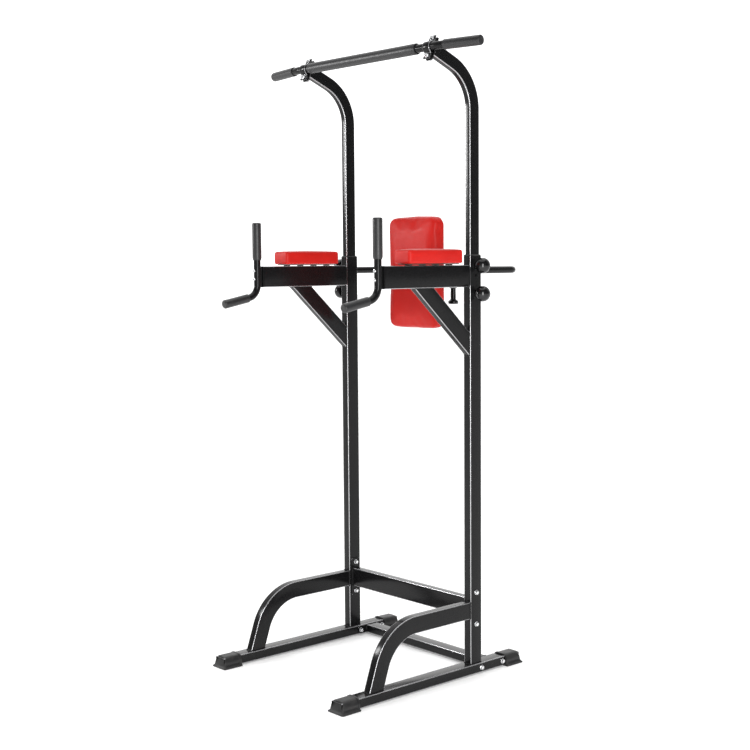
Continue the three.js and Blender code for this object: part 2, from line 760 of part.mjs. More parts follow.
// The locking knob under the sleeve: a flange, a stem and a wide base, with a screw that points up.
function makePullKnob() {
  const top = slideZ - slideSleeve.size / 2 - gap;
  const tipHeight = slideZ - slide.size / 2 - gap;
  const foot = top - pullKnob.length;
  const profile = [
    [0, foot],
    [pullKnob.base / 2 - 2, foot],
    [pullKnob.base / 2, foot + 2],
    [pullKnob.base / 2, foot + 11],
    [pullKnob.base / 2 - 3, foot + 14],
    [pullKnob.stem / 2, foot + 14],
    [pullKnob.stem / 2, top - 3],
    [pullKnob.flange / 2, top - 3],
    [pullKnob.flange / 2, top],
    [pullKnob.shank / 2, top],
    [pullKnob.shank / 2, tipHeight],
    [0, tipHeight],
  ];
  return turned(profile, "z", 12).translate(0, pullKnob.y, 0);
}

place("rear_frame", makeRearFrame(), blackSteel);
place("backrest_slide", makeSlide(), blackSteel);
place("slide_plug", makeSlidePlug(), blackPlastic);
place("backrest_board", makeBackrestBoard(), boardWood);
place("backrest_pad", makeBackrestPad(), redVinyl);
place("backrest_lock_knob", makePullKnob(), blackPlastic);

export default root;
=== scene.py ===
"""Power tower: the finished surfaces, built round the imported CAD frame. Metres, +Z up, the user faces -Y."""

import math

import bmesh
import bpy
from mathutils import Matrix, Vector, noise


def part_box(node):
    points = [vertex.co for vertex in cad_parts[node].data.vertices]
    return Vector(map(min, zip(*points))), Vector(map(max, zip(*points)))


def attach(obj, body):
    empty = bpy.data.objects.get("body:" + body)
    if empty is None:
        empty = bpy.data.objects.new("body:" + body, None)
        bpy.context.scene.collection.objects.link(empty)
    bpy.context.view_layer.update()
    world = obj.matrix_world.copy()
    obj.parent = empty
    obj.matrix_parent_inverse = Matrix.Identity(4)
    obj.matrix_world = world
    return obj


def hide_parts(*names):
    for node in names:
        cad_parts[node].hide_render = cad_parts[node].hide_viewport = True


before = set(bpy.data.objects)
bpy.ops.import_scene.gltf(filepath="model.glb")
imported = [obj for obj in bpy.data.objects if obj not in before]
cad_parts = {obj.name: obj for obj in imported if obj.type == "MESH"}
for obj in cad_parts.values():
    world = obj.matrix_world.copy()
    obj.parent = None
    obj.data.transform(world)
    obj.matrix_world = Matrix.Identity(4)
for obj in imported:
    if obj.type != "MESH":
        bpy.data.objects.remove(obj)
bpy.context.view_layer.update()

# ---- Driving dimensions ---------------------------------------------------------------------------

GAP = 0.0003  # between pieces that touch
SEAT = 0.0002  # under the heads and nuts of bolts
GRIP_PLAY = 0.0004  # between a grip and its tube, across
WALL = 0.0015  # of the steel tubes
PLATE = 0.004  # of the steel plates
CORNER = 0.0022  # outside corner radius of the rectangular tubes
RAIL_CORNER = 0.0025
WELD = 0.0024  # radius of a weld bead

UPRIGHT_WIDTH = 0.033
UPRIGHT_DEPTH = 0.054
SPARE_HOLE = 1.412
CROSS_TUBE = (0.050, 0.030)  # depth and height
CROSS_BEAM = (0.030, 0.070)

STAY_LEAN = 19  # degrees that the stay's foot leans back
STAY_STRAIGHT = 0.088
STAY_RADIUS = 0.165
STAY_DEPTH = 0.060
STAY_REACH = 0.475  # from the upright's middle to the foot's
STAY_BURIED = 0.012  # how far the swept foot goes on below the rail's top, before it is cut

NECK_BEND_AT = 1.980
NECK_RADIUS = 0.160
NECK_RISE = 23  # degrees above level at the tip
NECK_RUN = 0.096

BAR_DIAMETER = 0.028
BAR_REACH = 0.545
BAR_BEND_AT = 0.360
BAR_SWEEP = 7
BAR_DIP = 8
BAR_BEND_RADIUS = 0.150
BAR_BEND_LENGTH = 0.018

HANDLE_DIAMETER = 0.025
HANDLE_BEND_AT = 1.382
HANDLE_RADIUS = 0.048
HANDLE_TURN = 79
HANDLE_REACH = 0.106

HANDLE_SCREWS = (1.432, 1.402)
DIP_GRIP_LENGTH = 0.108
DIP_GRIP_CAP = 0.006

BRACE_SLOPE = 42.6
BRACE_DEPTH = 0.060
ARM_NOSE = 0.0012  # bevel of the plate that closes the arm's front end
ARM_HEEL = 0.009  # radius of the arm's rear end, seen from the side

NECK_WIDTH = 0.024
NECK_DEPTH = 0.046
NECK_CORNER = 0.003
SADDLE_WIDTH = 0.030
SADDLE_PLATE = 0.084
SADDLE_THICKNESS = 0.004
SADDLE_EAR = 0.042
SADDLE_LIFT = 0.003  # how much nearer to the tube the ears lie than the bar's middle
SADDLE_BEND = 0.0045
SADDLE_FLANK = 35  # degrees between the clamp's flank and the tube's tip
SLEEVE_DIAMETER = 0.038
END_GRIP = 0.034
END_GRIP_LENGTH = 0.150
END_GRIP_CAP = 0.005

KNOB_HEAD = 0.054
KNOB_HALF_DEPTH = 0.024
KNOB_NECK = 0.022
KNOB_STANDOFF = 0.0028
BOSS_DIAMETER = 0.026
BOSS_HEIGHT = 0.010

REAR_DIAMETER = 0.025
REAR_BEND_RADIUS = 0.040
REAR_REACH = 0.228  # from the uprights' middle back to the tube's
SLEEVE_AT = 0.204  # from the uprights' middle back to the square sleeve's
SLEEVE_HALF_LENGTH = 0.048
SQUARE_SLEEVE = 0.054
SQUARE_WALL = 0.0025
SLIDE_SIZE = 0.048

BOLT_HEAD = 0.013  # across flats
SIDES = (("left", 1), ("right", -1))

X = Vector((1, 0, 0))
Y = Vector((0, 1, 0))
Z = Vector((0, 0, 1))


def middle(node):
    low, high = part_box(node)
    return (low + high) / 2


def size(node):
    low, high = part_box(node)
    return high - low


# ---- Materials ------------------------------------------------------------------------------------


class Shader:
    """A principled material with helpers for the textures that vary its colour, roughness and height."""

    def __init__(self, name, color, roughness, metallic=0.0, **sockets):
        self.material = bpy.data.materials.new(name)
        self.material.use_nodes = True
        self.tree = self.material.node_tree
        self.surface = self.tree.nodes["Principled BSDF"]
        self.surface.inputs["Base Color"].default_value = (*color, 1)
        self.surface.inputs["Roughness"].default_value = roughness
        self.surface.inputs["Metallic"].default_value = metallic
        for key, value in sockets.items():
            self.surface.inputs[key.replace("_", " ")].default_value = value
        self.place = self.tree.nodes.new("ShaderNodeTexCoord").outputs["Object"]
        self.height = None

    def link(self, source, target):
        self.tree.links.new(source, target)

    def stretched(self, scale):
        mapping = self.tree.nodes.new("ShaderNodeMapping")
        mapping.inputs["Scale"].default_value = scale
        self.link(self.place, mapping.inputs["Vector"])
        return mapping.outputs["Vector"]

    def noise(self, scale, detail=3.0, roughness=0.55, place=None):
        node = self.tree.nodes.new("ShaderNodeTexNoise")
        node.inputs["Scale"].default_value = scale
        node.inputs["Detail"].default_value = detail
        node.inputs["Roughness"].default_value = roughness
        self.link(place or self.place, node.inputs["Vector"])
        return node.outputs["Fac"]

    def cells(self, scale, feature="F1", place=None):
        node = self.tree.nodes.new("ShaderNodeTexVoronoi")
        node.feature = feature
        node.inputs["Scale"].default_value = scale
        self.link(place or self.place, node.inputs["Vector"])
        return node.outputs["Distance"]

    def ramp(self, value, low, high, color_low, color_high):
        node = self.tree.nodes.new("ShaderNodeValToRGB")
        node.color_ramp.elements[0].position = low
        node.color_ramp.elements[0].color = (*color_low, 1)
        node.color_ramp.elements[1].position = high
        node.color_ramp.elements[1].color = (*color_high, 1)
        self.link(value, node.inputs["Fac"])
        return node.outputs["Color"]

    def span(self, value, low, high, to_low, to_high):
        node = self.tree.nodes.new("ShaderNodeMapRange")
        for socket, number in zip(("From Min", "From Max", "To Min", "To Max"), (low, high, to_low, to_high)):
            node.inputs[socket].default_value = number
        self.link(value, node.inputs["Value"])
        return node.outputs["Result"]

    def bump(self, value, depth, strength=1.0):
        node = self.tree.nodes.new("ShaderNodeBump")
        node.inputs["Strength"].default_value = strength
        node.inputs["Distance"].default_value = depth
        self.link(value, node.inputs["Height"])
        if self.height:
            self.link(self.height, node.inputs["Normal"])
        self.height = node.outputs["Normal"]
        self.link(self.height, self.surface.inputs["Normal"])

    def attribute(self, name):
        node = self.tree.nodes.new("ShaderNodeAttribute")
        node.attribute_name = name
        return node.outputs["Fac"]

    def product(self, value, other):
        node = self.tree.nodes.new("ShaderNodeMath")
        node.operation = "MULTIPLY"
        self.link(value, node.inputs[0])
        if isinstance(other, float):
            node.inputs[1].default_value = other
        else:
            self.link(other, node.inputs[1])
        return node.outputs["Value"]

    def mixed(self, share, first, color):
        """The first colour at share 0, and color at share 1."""
        node = self.tree.nodes.new("ShaderNodeMix")
        node.data_type = "RGBA"
        self.link(share, next(s for s in node.inputs if s.enabled and s.name == "Factor"))
        self.link(first, next(s for s in node.inputs if s.enabled and s.name == "A"))
        next(s for s in node.inputs if s.enabled and s.name == "B").default_value = (*color, 1)
        return next(s for s in node.outputs if s.enabled)

    def color_from(self, output):
        self.link(output, self.surface.inputs["Base Color"])

    def roughness_from(self, output):
        self.link(output, self.surface.inputs["Roughness"])


def powder_coat():
    """Black powder coat: a fine speckled grain, with a painted highlight: lighter, metallic faces where the
    tubes turn their corners.
    """
    s = Shader("powder_coat", (0.010, 0.010, 0.011), 0.18, Specular_IOR_Level=0.2)
    grain = s.noise(900, 2.0, 0.7)
    black = s.ramp(grain, 0.42, 0.70, (0.0036, 0.0036, 0.0038), (0.016, 0.016, 0.017))
    # Painted highlight: the corner arcs get a lighter, metallic colour that stands in for the highlight lines
    # the lamps draw there.
    corner_highlight = s.product(s.attribute("edge"), s.span(s.noise(45, 4.0, 0.6), 0.32, 0.62, 0.92, 1.0))
    s.color_from(s.mixed(corner_highlight, black, (0.46, 0.46, 0.47)))
    s.link(s.product(corner_highlight, 0.85), s.surface.inputs["Metallic"])
    cloud = s.noise(14, 3.0)
    s.roughness_from(s.span(cloud, 0.3, 0.7, 0.15, 0.21))
    s.bump(s.noise(260, 2.0, 0.6), 0.00008, 0.35)
    s.bump(grain, 0.00004, 0.4)
    return s.material


def zinc():
    """Bright zinc plate: slightly mottled, a little duller where it was handled."""
    s = Shader("zinc_plate", (0.68, 0.69, 0.71), 0.26, 1.0)
    mottle = s.noise(420, 4.0)
    s.color_from(s.ramp(mottle, 0.35, 0.7, (0.72, 0.73, 0.75), (0.90, 0.90, 0.90)))
    s.roughness_from(s.span(mottle, 0.3, 0.7, 0.16, 0.30))
    s.bump(s.noise(1500, 2.0), 0.00005, 0.4)
    return s.material


def boot_rubber():
    s = Shader("boot_rubber", (0.012, 0.012, 0.012), 0.5)
    dust = s.noise(55, 5.0, 0.6)
    s.color_from(s.ramp(dust, 0.45, 0.75, (0.0095, 0.0095, 0.010), (0.024, 0.023, 0.022)))
    s.roughness_from(s.span(dust, 0.3, 0.7, 0.40, 0.58))
    s.bump(s.noise(1100, 2.0), 0.00012, 0.5)
    return s.material


def foam_grip(name, low, high):
    """Foam rubber with closed pores."""
    s = Shader(name, high, 0.40)
    pores = s.cells(900)
    s.color_from(s.ramp(pores, 0.1, 0.6, low, high))
    s.roughness_from(s.span(s.noise(90, 3.0), 0.3, 0.7, 0.36, 0.44))
    s.bump(pores, 0.00012, 0.3)
    s.bump(s.noise(60, 3.0), 0.0004, 0.2)
    return s.material


def moulded_plastic():
    s = Shader("moulded_plastic", (0.005, 0.005, 0.0055), 0.2)
    haze = s.noise(38, 3.0)
    s.roughness_from(s.span(haze, 0.3, 0.7, 0.08, 0.16))
    s.color_from(s.ramp(haze, 0.3, 0.7, (0.0035, 0.0035, 0.0038), (0.0060, 0.0060, 0.0065)))
    s.bump(s.noise(700, 2.0), 0.00005, 0.5)
    return s.material


def red_vinyl():
    """Upholstery vinyl: a pebbled leather grain with fine creases between the pebbles."""
    s = Shader("red_vinyl", (0.78, 0.028, 0.018), 0.44, Specular_IOR_Level=0.22)
    pebbles = s.cells(620, "DISTANCE_TO_EDGE")
    shade = s.noise(9, 3.0)
    s.color_from(s.ramp(shade, 0.3, 0.7, (0.49, 0.009, 0.006), (0.56, 0.013, 0.009)))
    s.roughness_from(s.span(s.noise(70, 4.0), 0.3, 0.7, 0.36, 0.50))
    s.bump(s.noise(36, 3.0), 0.0007, 0.35)
    s.bump(pebbles, 0.00022, 0.55)
    return s.material


def stained_board():
    """Dark stained plywood: long grain along X, with pores."""
    s = Shader("stained_board", (0.045, 0.034, 0.027), 0.62)
    grain = s.noise(22, 6.0, 0.65, s.stretched((1, 14, 14)))
    s.color_from(s.ramp(grain, 0.3, 0.7, (0.026, 0.020, 0.016), (0.085, 0.062, 0.046)))
    s.roughness_from(s.span(grain, 0.3, 0.7, 0.52, 0.75))
    s.bump(grain, 0.0003, 0.6)
    return s.material


LOOKS = {
    "black_steel": powder_coat(),
    "zinc_steel": zinc(),
    "black_rubber": boot_rubber(),
    "grey_grip": foam_grip("grey_foam", (0.005, 0.005, 0.0055), (0.016, 0.016, 0.017)),
    "dark_grip": foam_grip("black_foam", (0.006, 0.006, 0.007), (0.019, 0.019, 0.020)),
    "black_plastic": moulded_plastic(),
    "red_vinyl": red_vinyl(),
    "board_wood": stained_board(),
}

# ---- Mesh building --------------------------------------------------------------------------------

# Narrow corner faces below this width carry the painted highlight in the powder coat.
PAINTED_HIGHLIGHT_WIDTH = 0.0013  # the faces that round a corner are narrower than this
SHARP = 32  # degrees between two faces from which their edge looks hard
TURNS = 48  # points round a turned piece
HEX_OFFSET = 0.001  # radians that a hexagon's points are turned by, so that none falls on a corner
CHAMFER = math.tan(math.radians(30))
WASHER = 0.0016  # thickness
THREAD_DEPTH = 0.0006
BEAD_STEP = 0.0011  # between the rings of a weld bead
BEAD_SIDES = 8


class Build:
    """Collects points and faces for one piece."""

    def __init__(self):
        self.points = []
        self.faces = []

    def ring(self, points):
        start = len(self.points)
        self.points.extend(Vector(p) for p in points)
        return list(range(start, len(self.points)))

    def bridge(self, a, b):
        for i in range(len(a)):
            j = (i + 1) % len(a)
            self.faces.append((a[i], a[j], b[j], b[i]))

    def walls(self, rings):
        """Rings, with faces between each two that follow each other."""
        made = [self.ring(r) for r in rings]
        for a, b in zip(made, made[1:]):
            self.bridge(a, b)
        return made

    def cap(self, ring):
        self.faces.append(tuple(ring))

    def add(self, other):
        start = len(self.points)
        self.points.extend(other.points)
        self.faces.extend(tuple(i + start for i in face) for face in other.faces)


def lofted(rings):
    """A solid through rings with the same number of points."""
    build = Build()
    made = build.walls(rings)
    build.cap(reversed(made[0]))
    build.cap(made[-1])
    return build


def shelled(outer_rings, inner_rings):
    """A closed shell between two sets of rings, open at both ends like a tube."""
    build = Build()
    outer = build.walls(outer_rings)
    inner = build.walls(reversed(inner_rings))
    build.bridge(inner[-1], outer[0])
    build.bridge(outer[-1], inner[0])
    return build


def mesh_of(name, build):
    mesh = bpy.data.meshes.new(name)
    mesh.from_pydata(build.points, [], build.faces)
    return mesh


def placed(name, mesh):
    """A new object in the scene, with its faces turned outwards."""
    obj = bpy.data.objects.new(name, mesh)
    bpy.context.scene.collection.objects.link(obj)
    work = bmesh.new()
    work.from_mesh(mesh)
    bmesh.ops.recalc_face_normals(work, faces=work.faces)
    work.to_mesh(mesh)
    work.free()
    return obj


def piece(name, build, look, body, nodes=(), sharp=SHARP):
    """Makes the object: smooth, with hard edges where the surface turns sharply, riding on a CAD body."""
    mesh = mesh_of(name, build)
    mesh.validate()
    mesh.shade_smooth()
    mesh.set_sharp_from_angle(angle=math.radians(sharp))
    mesh.materials.append(LOOKS[look])
    obj = placed(name, mesh)
    if look == "black_steel" and name != "weld_beads":
        mark_edges(mesh)
    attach(obj, body)
    if nodes:
        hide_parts(*nodes)
    return obj


def steel_tube(node, build, body="frame"):
    return piece(f"{node}_tube", build, "black_steel", body, (node,))


def bolt_set(node, build, body="frame"):
    piece(f"{node}_set", build, "zinc_steel", body, (node,))


def mark_edges(mesh):
    """An attribute that is 1 on the narrow faces that round a tube's corners, where the powder coat gets its
    painted highlight.
    """
    work = bmesh.new()
    work.from_mesh(mesh)
    low, high = math.radians(10), math.radians(40)
    values = []
    for face in work.faces:
        narrow = min(edge.calc_length() for edge in face.edges) < PAINTED_HIGHLIGHT_WIDTH
        rounds = any(low < edge.calc_face_angle(0) < high for edge in face.edges)
        values.append(1.0 if narrow and rounds and len(face.verts) == 4 else 0.0)
    work.free()
    mesh.attributes.new("edge", "FLOAT", "FACE").data.foreach_set("value", values)


def settle(obj):
    """Applies every modifier on the object."""
    bpy.context.view_layer.update()
    graph = bpy.context.evaluated_depsgraph_get()
    mesh = bpy.data.meshes.new_from_object(obj.evaluated_get(graph))
    obj.modifiers.clear()
    obj.data = mesh


def rounded(width, height, corner, steps=6):
    """Points round a rectangle with round corners, anticlockwise from the right edge."""
    corner = max(min(corner, width / 2, height / 2), 1e-5)
    points = []
    for cx, cy, start in ((1, 1, 0), (-1, 1, 90), (-1, -1, 180), (1, -1, 270)):
        for step in range(steps + 1):
            angle = math.radians(start + 90 * step / steps)
            x = cx * (width / 2 - corner) + corner * math.cos(angle)
            y = cy * (height / 2 - corner) + corner * math.sin(angle)
            points.append((x, y))
    return points


def tube_sections(width, height, corner=CORNER, inner_corner=CORNER - WALL, wall=WALL):
    """The outlines of a rectangular tube's outside and inside."""
    return rounded(width, height, corner), rounded(width - 2 * wall, height - 2 * wall, inner_corner)


def circle(diameter, steps=40):
    angles = [2 * math.pi * i / steps for i in range(steps)]
    return [(diameter / 2 * math.cos(angle), diameter / 2 * math.sin(angle)) for angle in angles]


def lay(section, origin, across, up):
    """Section points set out from origin along two directions."""
    return [origin + across * u + up * v for u, v in section]


def slide_to(ring, tangent, point, normal):
    """Each point of a ring slid along tangent until it lies in the plane through point."""
    return [p + tangent * ((point - p).dot(normal) / tangent.dot(normal)) for p in ring]


def bent_path(start, heading, legs):
    """Straight runs and bends in one plane: a list of (a, b, heading in radians)."""
    a, b = start
    angle = math.radians(heading)
    stations = [(a, b, angle)]
    for kind, amount, *rest in legs:
        steps = 1 if kind == "run" else rest[1]
        turn = 0 if kind == "run" else math.radians(rest[0]) / steps
        chord = amount if kind == "run" else 2 * amount * math.sin(abs(turn) / 2)
        for _ in range(steps):
            angle += turn / 2
            a += chord * math.cos(angle)
            b += chord * math.sin(angle)
            angle += turn / 2
            stations.append((a, b, angle))
    return stations


def side_rings(stations, x, section):
    """Rings of a section swept along a path that lies in the plane across X: a is Y and b is Z."""
    rings = []
    for a, b, angle in stations:
        rings.append(lay(section, Vector((x, a, b)), X, Vector((0, -math.sin(angle), math.cos(angle)))))
    return rings


def flat_rings(stations, z, section):
    """Rings of a section swept along a level path: a is X and b is Y."""
    rings = []
    for a, b, angle in stations:
        rings.append(lay(section, Vector((a, b, z)), Z, Vector((math.sin(angle), -math.cos(angle), 0))))
    return rings


def straight_tube(start, end, width, height, across, up, corner=CORNER, wall=WALL):
    sections = tube_sections(width, height, corner, max(corner - wall, 0.001), wall)
    return shelled(*([lay(section, p, across, up) for p in (start, end)] for section in sections))


def slab(width, height, corner, origin, across, up, thickness, bevel=0.0006):
    """A plate with softened edges. It rises from origin along across x up."""
    axis = across.cross(up)
    rings = []
    for inset, level in ((bevel, 0), (0, bevel), (0, thickness - bevel), (bevel, thickness)):
        section = rounded(width - 2 * inset, height - 2 * inset, max(corner - inset, 0.0005))
        rings.append(lay(section, origin + axis * level, across, up))
    return lofted(rings)


def round_axis(origin, axis, places, turn=0.0):
    """Points evenly round an axis, one for each (radius, distance along the axis)."""
    side = axis.orthogonal().normalized()
    other = axis.cross(side)
    points = []
    for i, (radius, along) in enumerate(places):
        angle = 2 * math.pi * i / len(places) + turn
        points.append(origin + axis * along + (side * math.cos(angle) + other * math.sin(angle)) * radius)
    return points


def turned(profile, origin, axis, steps=TURNS):
    """A turned piece: (radius, distance along the axis) points, from axis to axis or closed on itself."""
    build = Build()
    rings = []
    for radius, along in profile:
        if radius < 1e-7:
            rings.append(build.ring([origin + axis * along]) * steps)
        else:
            rings.append(build.ring(round_axis(origin, axis, [(radius, along)] * steps)))
    if profile[0][0] > 1e-7:
        rings.append(rings[0])
    for a, b in zip(rings, rings[1:]):
        for i in range(steps):
            j = (i + 1) % steps
            face = tuple(dict.fromkeys((a[i], a[j], b[j], b[i])))
            if len(face) > 2:
                build.faces.append(face)
    return build


def rod(origin, axis, diameter, start, end, steps=24):
    radius = diameter / 2
    return turned([(0, start), (radius, start), (radius, end), (0, end)], origin, axis, steps)


def arc(centre_radius, centre_along, radius, start, end, steps=6):
    """Profile points round part of a circle, by angle from the direction of the axis' radius."""
    points = []
    for step in range(steps + 1):
        angle = math.radians(start + (end - start) * step / steps)
        points.append((centre_radius + radius * math.cos(angle), centre_along + radius * math.sin(angle)))
    return points


def bead_path(corners):
    """Points set closely along a line through the corners, without its last point."""
    path = []
    for point, following in zip(corners, corners[1:]):
        pieces = max(1, int((following - point).length / BEAD_STEP))
        path.extend(point.lerp(following, k / pieces) for k in range(pieces))
    return path


def bead_ring(point, outwards, away, radius):
    angles = [2 * math.pi * k / BEAD_SIDES for k in range(BEAD_SIDES)]
    return [point + (outwards * math.cos(angle) + away * math.sin(angle)) * radius for angle in angles]


def weld(corners, away, radius=WELD, seed=0.0):
    """A rippled bead round a closed outline where a tube meets another piece."""
    path = bead_path(corners + corners[:1])
    build = Build()
    rings = []
    for i, point in enumerate(path):
        along = (path[(i + 1) % len(path)] - path[i - 1]).normalized()
        ripple = 1 + 0.13 * math.sin(i * 1.35 + seed) + 0.05 * noise.noise(point * 400)
        rings.append(build.ring(bead_ring(point, along.cross(away).normalized(), away, radius * ripple)))
    for a, b in zip(rings, rings[1:] + rings[:1]):
        build.bridge(a, b)
    return build


def open_weld(corners, up, radius):
    """A rippled bead along an open line, with rounded ends."""
    path = bead_path(corners) + corners[-1:]
    last = len(path) - 1
    rings = []
    for i, point in enumerate(path):
        along = (path[min(i + 1, last)] - path[max(i - 1, 0)]).normalized()
        ripple = (1 + 0.13 * math.sin(i * 1.35 + 0.3)) * min(1, 0.35 + min(i, last - i) * 0.25)
        rings.append(bead_ring(point, along.cross(up).normalized(), up, radius * ripple))
    return lofted(rings)


def hexagon(across_flats):
    """How far a hexagon's edge is from its middle, at each point round a turned piece."""
    sixth = math.pi / 3
    angles = [2 * math.pi * i / TURNS + HEX_OFFSET for i in range(TURNS)]
    return [across_flats / 2 / math.cos(angle % sixth - sixth / 2) for angle in angles]


def hex_block(origin, axis, across_flats, bottom, top, both=False, turn=0.0):
    """A bolt head or nut whose corners are chamfered on the outer face, or on both faces for a nut."""
    flat = across_flats / 2 * 0.95
    edge = [(radius, max(radius - flat, 0) * CHAMFER) for radius in hexagon(across_flats)]
    if both:
        rows = [[(flat, bottom)] * TURNS, [(radius, bottom + drop) for radius, drop in edge]]
    else:
        rows = [[(radius, bottom) for radius, drop in edge]]
    rows += [[(radius, top - drop) for radius, drop in edge], [(flat, top)] * TURNS]
    return lofted([round_axis(origin, axis, row, turn + HEX_OFFSET) for row in rows])


def socket_head(origin, axis, diameter, height, shank, depth):
    """A round screw head with a hexagon socket, and its shank behind."""
    radius = diameter / 2
    key = hexagon(diameter * 0.42)
    outside = [(shank / 2, -depth), (shank / 2, 0), (radius - 0.0002, 0), (radius, 0.0003)]
    for share, level in ((1, 0.55), (0.95, 0.80), (0.84, 0.95), (0.74, 1)):
        outside.append((radius * share, height * level))
    rows = [[place] * TURNS for place in outside]
    for grow, level in ((0.0003, height), (0, height - 0.0003), (0, height * 0.35)):
        rows.append([(reach + grow, level) for reach in key])
    return lofted([round_axis(origin, axis, row) for row in rows])


def thread(origin, axis, diameter, start, end, pitch=0.00125):
    """A threaded end: a helical ridge round a rod, with a chamfered tip."""
    steps = 24
    rows = max(8, int((end - start) / pitch * 6))
    rings = []
    for row in range(rows + 1):
        along = start + (end - start) * row / rows
        taper = min(1.0, (end - along) / 0.0012 * 0.15 + 0.85)
        phases = [(along / pitch - i / steps) % 1 for i in range(steps)]
        places = [(diameter / 2 * taper - abs(phase - 0.5) * 2 * THREAD_DEPTH, along) for phase in phases]
        rings.append(round_axis(origin, axis, places))
    return lofted(rings)


def washer(origin, axis, bottom, bore=0.004):
    edge = 0.0085
    top = bottom + WASHER
    profile = [(bore, bottom), (edge - 0.0003, bottom), (edge, bottom + 0.0004), (edge, top - 0.0004)]
    profile += [(edge - 0.0004, top), (bore, top)]
    return turned(profile, origin, axis)


def bolt_build(origin, axis, head_at, nut_at, turn=0.0):
    """A bolt with its head seated at head_at and its nut at nut_at, measured along the axis."""
    build = washer(origin, axis, head_at)
    seat = head_at + WASHER
    build.add(hex_block(origin, axis, BOLT_HEAD, seat, seat + 0.0053, turn=turn))
    mark, crown = seat + 0.0050, seat + 0.0056
    build.add(turned([(0, mark), (0.0040, mark), (0.0036, crown), (0, crown)], origin, axis, 24))
    build.add(rod(origin, axis, 0.0076, nut_at, head_at + 0.001))
    back = -axis
    build.add(washer(origin, back, -nut_at))
    nut = WASHER - nut_at
    build.add(hex_block(origin, back, BOLT_HEAD, nut, nut + 0.0062, both=True, turn=turn + 0.4))
    build.add(thread(origin, back, 0.008, nut, nut + 0.0089))
    return build


def drill(obj, origin, axis, diameter, depth):
    """A real hole, cut by a boolean that is applied at once."""
    cutter = placed("drill", mesh_of("drill", rod(origin, axis, diameter, -depth, depth, 32)))
    modifier = obj.modifiers.new("hole", "BOOLEAN")
    modifier.operation = "DIFFERENCE"
    modifier.solver = "EXACT"
    modifier.object = cutter
    settle(obj)
    bpy.data.objects.remove(cutter)
    obj.data.set_sharp_from_angle(angle=math.radians(SHARP))


# ---- Floor frame ----------------------------------------------------------------------------------

upright_y = middle("upright_left").y
upright_x = middle("floor_rail_left").x
upright_front = upright_y - UPRIGHT_DEPTH / 2
rail_low, rail_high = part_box("floor_rail_left")
rail_top = rail_high.z
welds = Build()


def weld_on(outline, away, seed=0.0, radius=WELD):
    welds.add(weld(outline, away, radius, seed))


def make_rail(side):
    node = f"floor_rail_{side}"
    low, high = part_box(node)
    centre = (low + high) / 2
    start = Vector((centre.x, low.y, centre.z))
    end = Vector((centre.x, high.y, centre.z))
    steel_tube(node, straight_tube(start, end, high.x - low.x, high.z - low.z, X, Z, RAIL_CORNER))


BOOT_BODY = 0.033  # half width
BOOT_LEAN = 0.30  # how far the tip slopes back for each unit of height
BOOT_ROUND = 0.017  # radius of the body's upper edges
BOOT_FOOT = 0.003  # height of the body's underside
BOOT_MOUTH = 0.0015  # how far the body starts behind the skirt's end
BOOT_BORE = 0.045  # depth of the hollow that takes the rail
BOOT_LIP = ((0.0015, -0.0012), (0.0025, 0.0), (0.0085, 0.0), (0.0098, -0.0014), (0.0300, -0.0014))
BOOT_SKIRT = ((0.0014, 0.0), (0.0002, 0.0010), (0.0, 0.0030), (0.0010, 0.0044), (0.0032, 0.0056),
              (0.0052, 0.0082), (0.0066, 0.0120))


def tunnel(half_width, top, steps=9):
    """A closed outline with an arched top: x and z points, anticlockwise."""
    points = [(half_width, BOOT_FOOT + (top - BOOT_ROUND - BOOT_FOOT) * k / 4) for k in range(5)]
    lean = 0.0018
    for step in range(1, steps + 1):
        angle = math.radians(90 * step / steps)
        x = half_width - lean - BOOT_ROUND * (1 - math.cos(angle))
        points.append((x, top - BOOT_ROUND * (1 - math.sin(angle))))
    mirror = [(-x, z) for x, z in reversed(points)]
    across = [(-half_width + 2 * half_width * k / 8, BOOT_FOOT) for k in range(1, 8)]
    return points + [(0, top + 0.0003)] + mirror + across


def boot_build(node, tip):
    """A rubber boot: an arched body with a sloping tip, a lip at its mouth and a flared skirt."""
    low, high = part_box(node)
    x = (low.x + high.x) / 2
    mouth = low.y if tip > 0 else high.y
    length = high.y - low.y
    top = high.z - 0.0004

    def place(section, along):
        lean = BOOT_LEAN if along > length / 2 else 0
        return [Vector((x + u, mouth + tip * (along - lean * v), v)) for u, v in section]

    rings = [place(tunnel(BOOT_BODY + grow, top + grow), along) for along, grow in BOOT_LIP]
    nose = 0.0026
    for turn in (0, 22, 45, 68, 90):
        angle = math.radians(turn)
        inset = 0.0014 + nose * (1 - math.cos(angle))
        along = length - 0.003 - nose * (1 - math.sin(angle))
        rings.append(place(tunnel(BOOT_BODY - inset, top - inset), along))
    body = Build()
    made = body.walls(rings)
    body.cap(made[-1])
    half_width = (rail_high.x - rail_low.x) / 2 + 0.0006
    half_height = (rail_high.z - rail_low.z) / 2 + 0.0006
    level = (rail_high.z + rail_low.z) / 2
    inner = []
    for point in rings[0]:
        across, up = point.x - x, point.z - level
        stretch = 1 / max(abs(across) / half_width, abs(up) / half_height)
        inner.append((across * stretch, level + up * stretch))
    mouth_ring = body.ring(Vector((x + u, mouth + tip * BOOT_MOUTH, v)) for u, v in inner)
    deep_ring = body.ring(Vector((x + u, mouth + tip * BOOT_BORE, v)) for u, v in inner)
    body.bridge(mouth_ring, made[0])
    body.bridge(deep_ring, mouth_ring)
    body.cap(deep_ring)
    centre = Vector((x, (low.y + high.y) / 2, 0))
    skirt = []
    for inset, height in BOOT_SKIRT:
        section = rounded(high.x - low.x - 2 * inset, length - 2 * inset, 0.007, 8)
        skirt.append(lay(section, centre + Z * height, X, Y))
    body.add(lofted(skirt))
    return body


def make_boots():
    for side, _ in SIDES:
        for end, tip in (("front", -1), ("rear", 1)):
            node = f"{end}_boot_{side}"
            piece(f"{node}_shoe", boot_build(node, tip), "black_rubber", "frame", (node,), sharp=40)


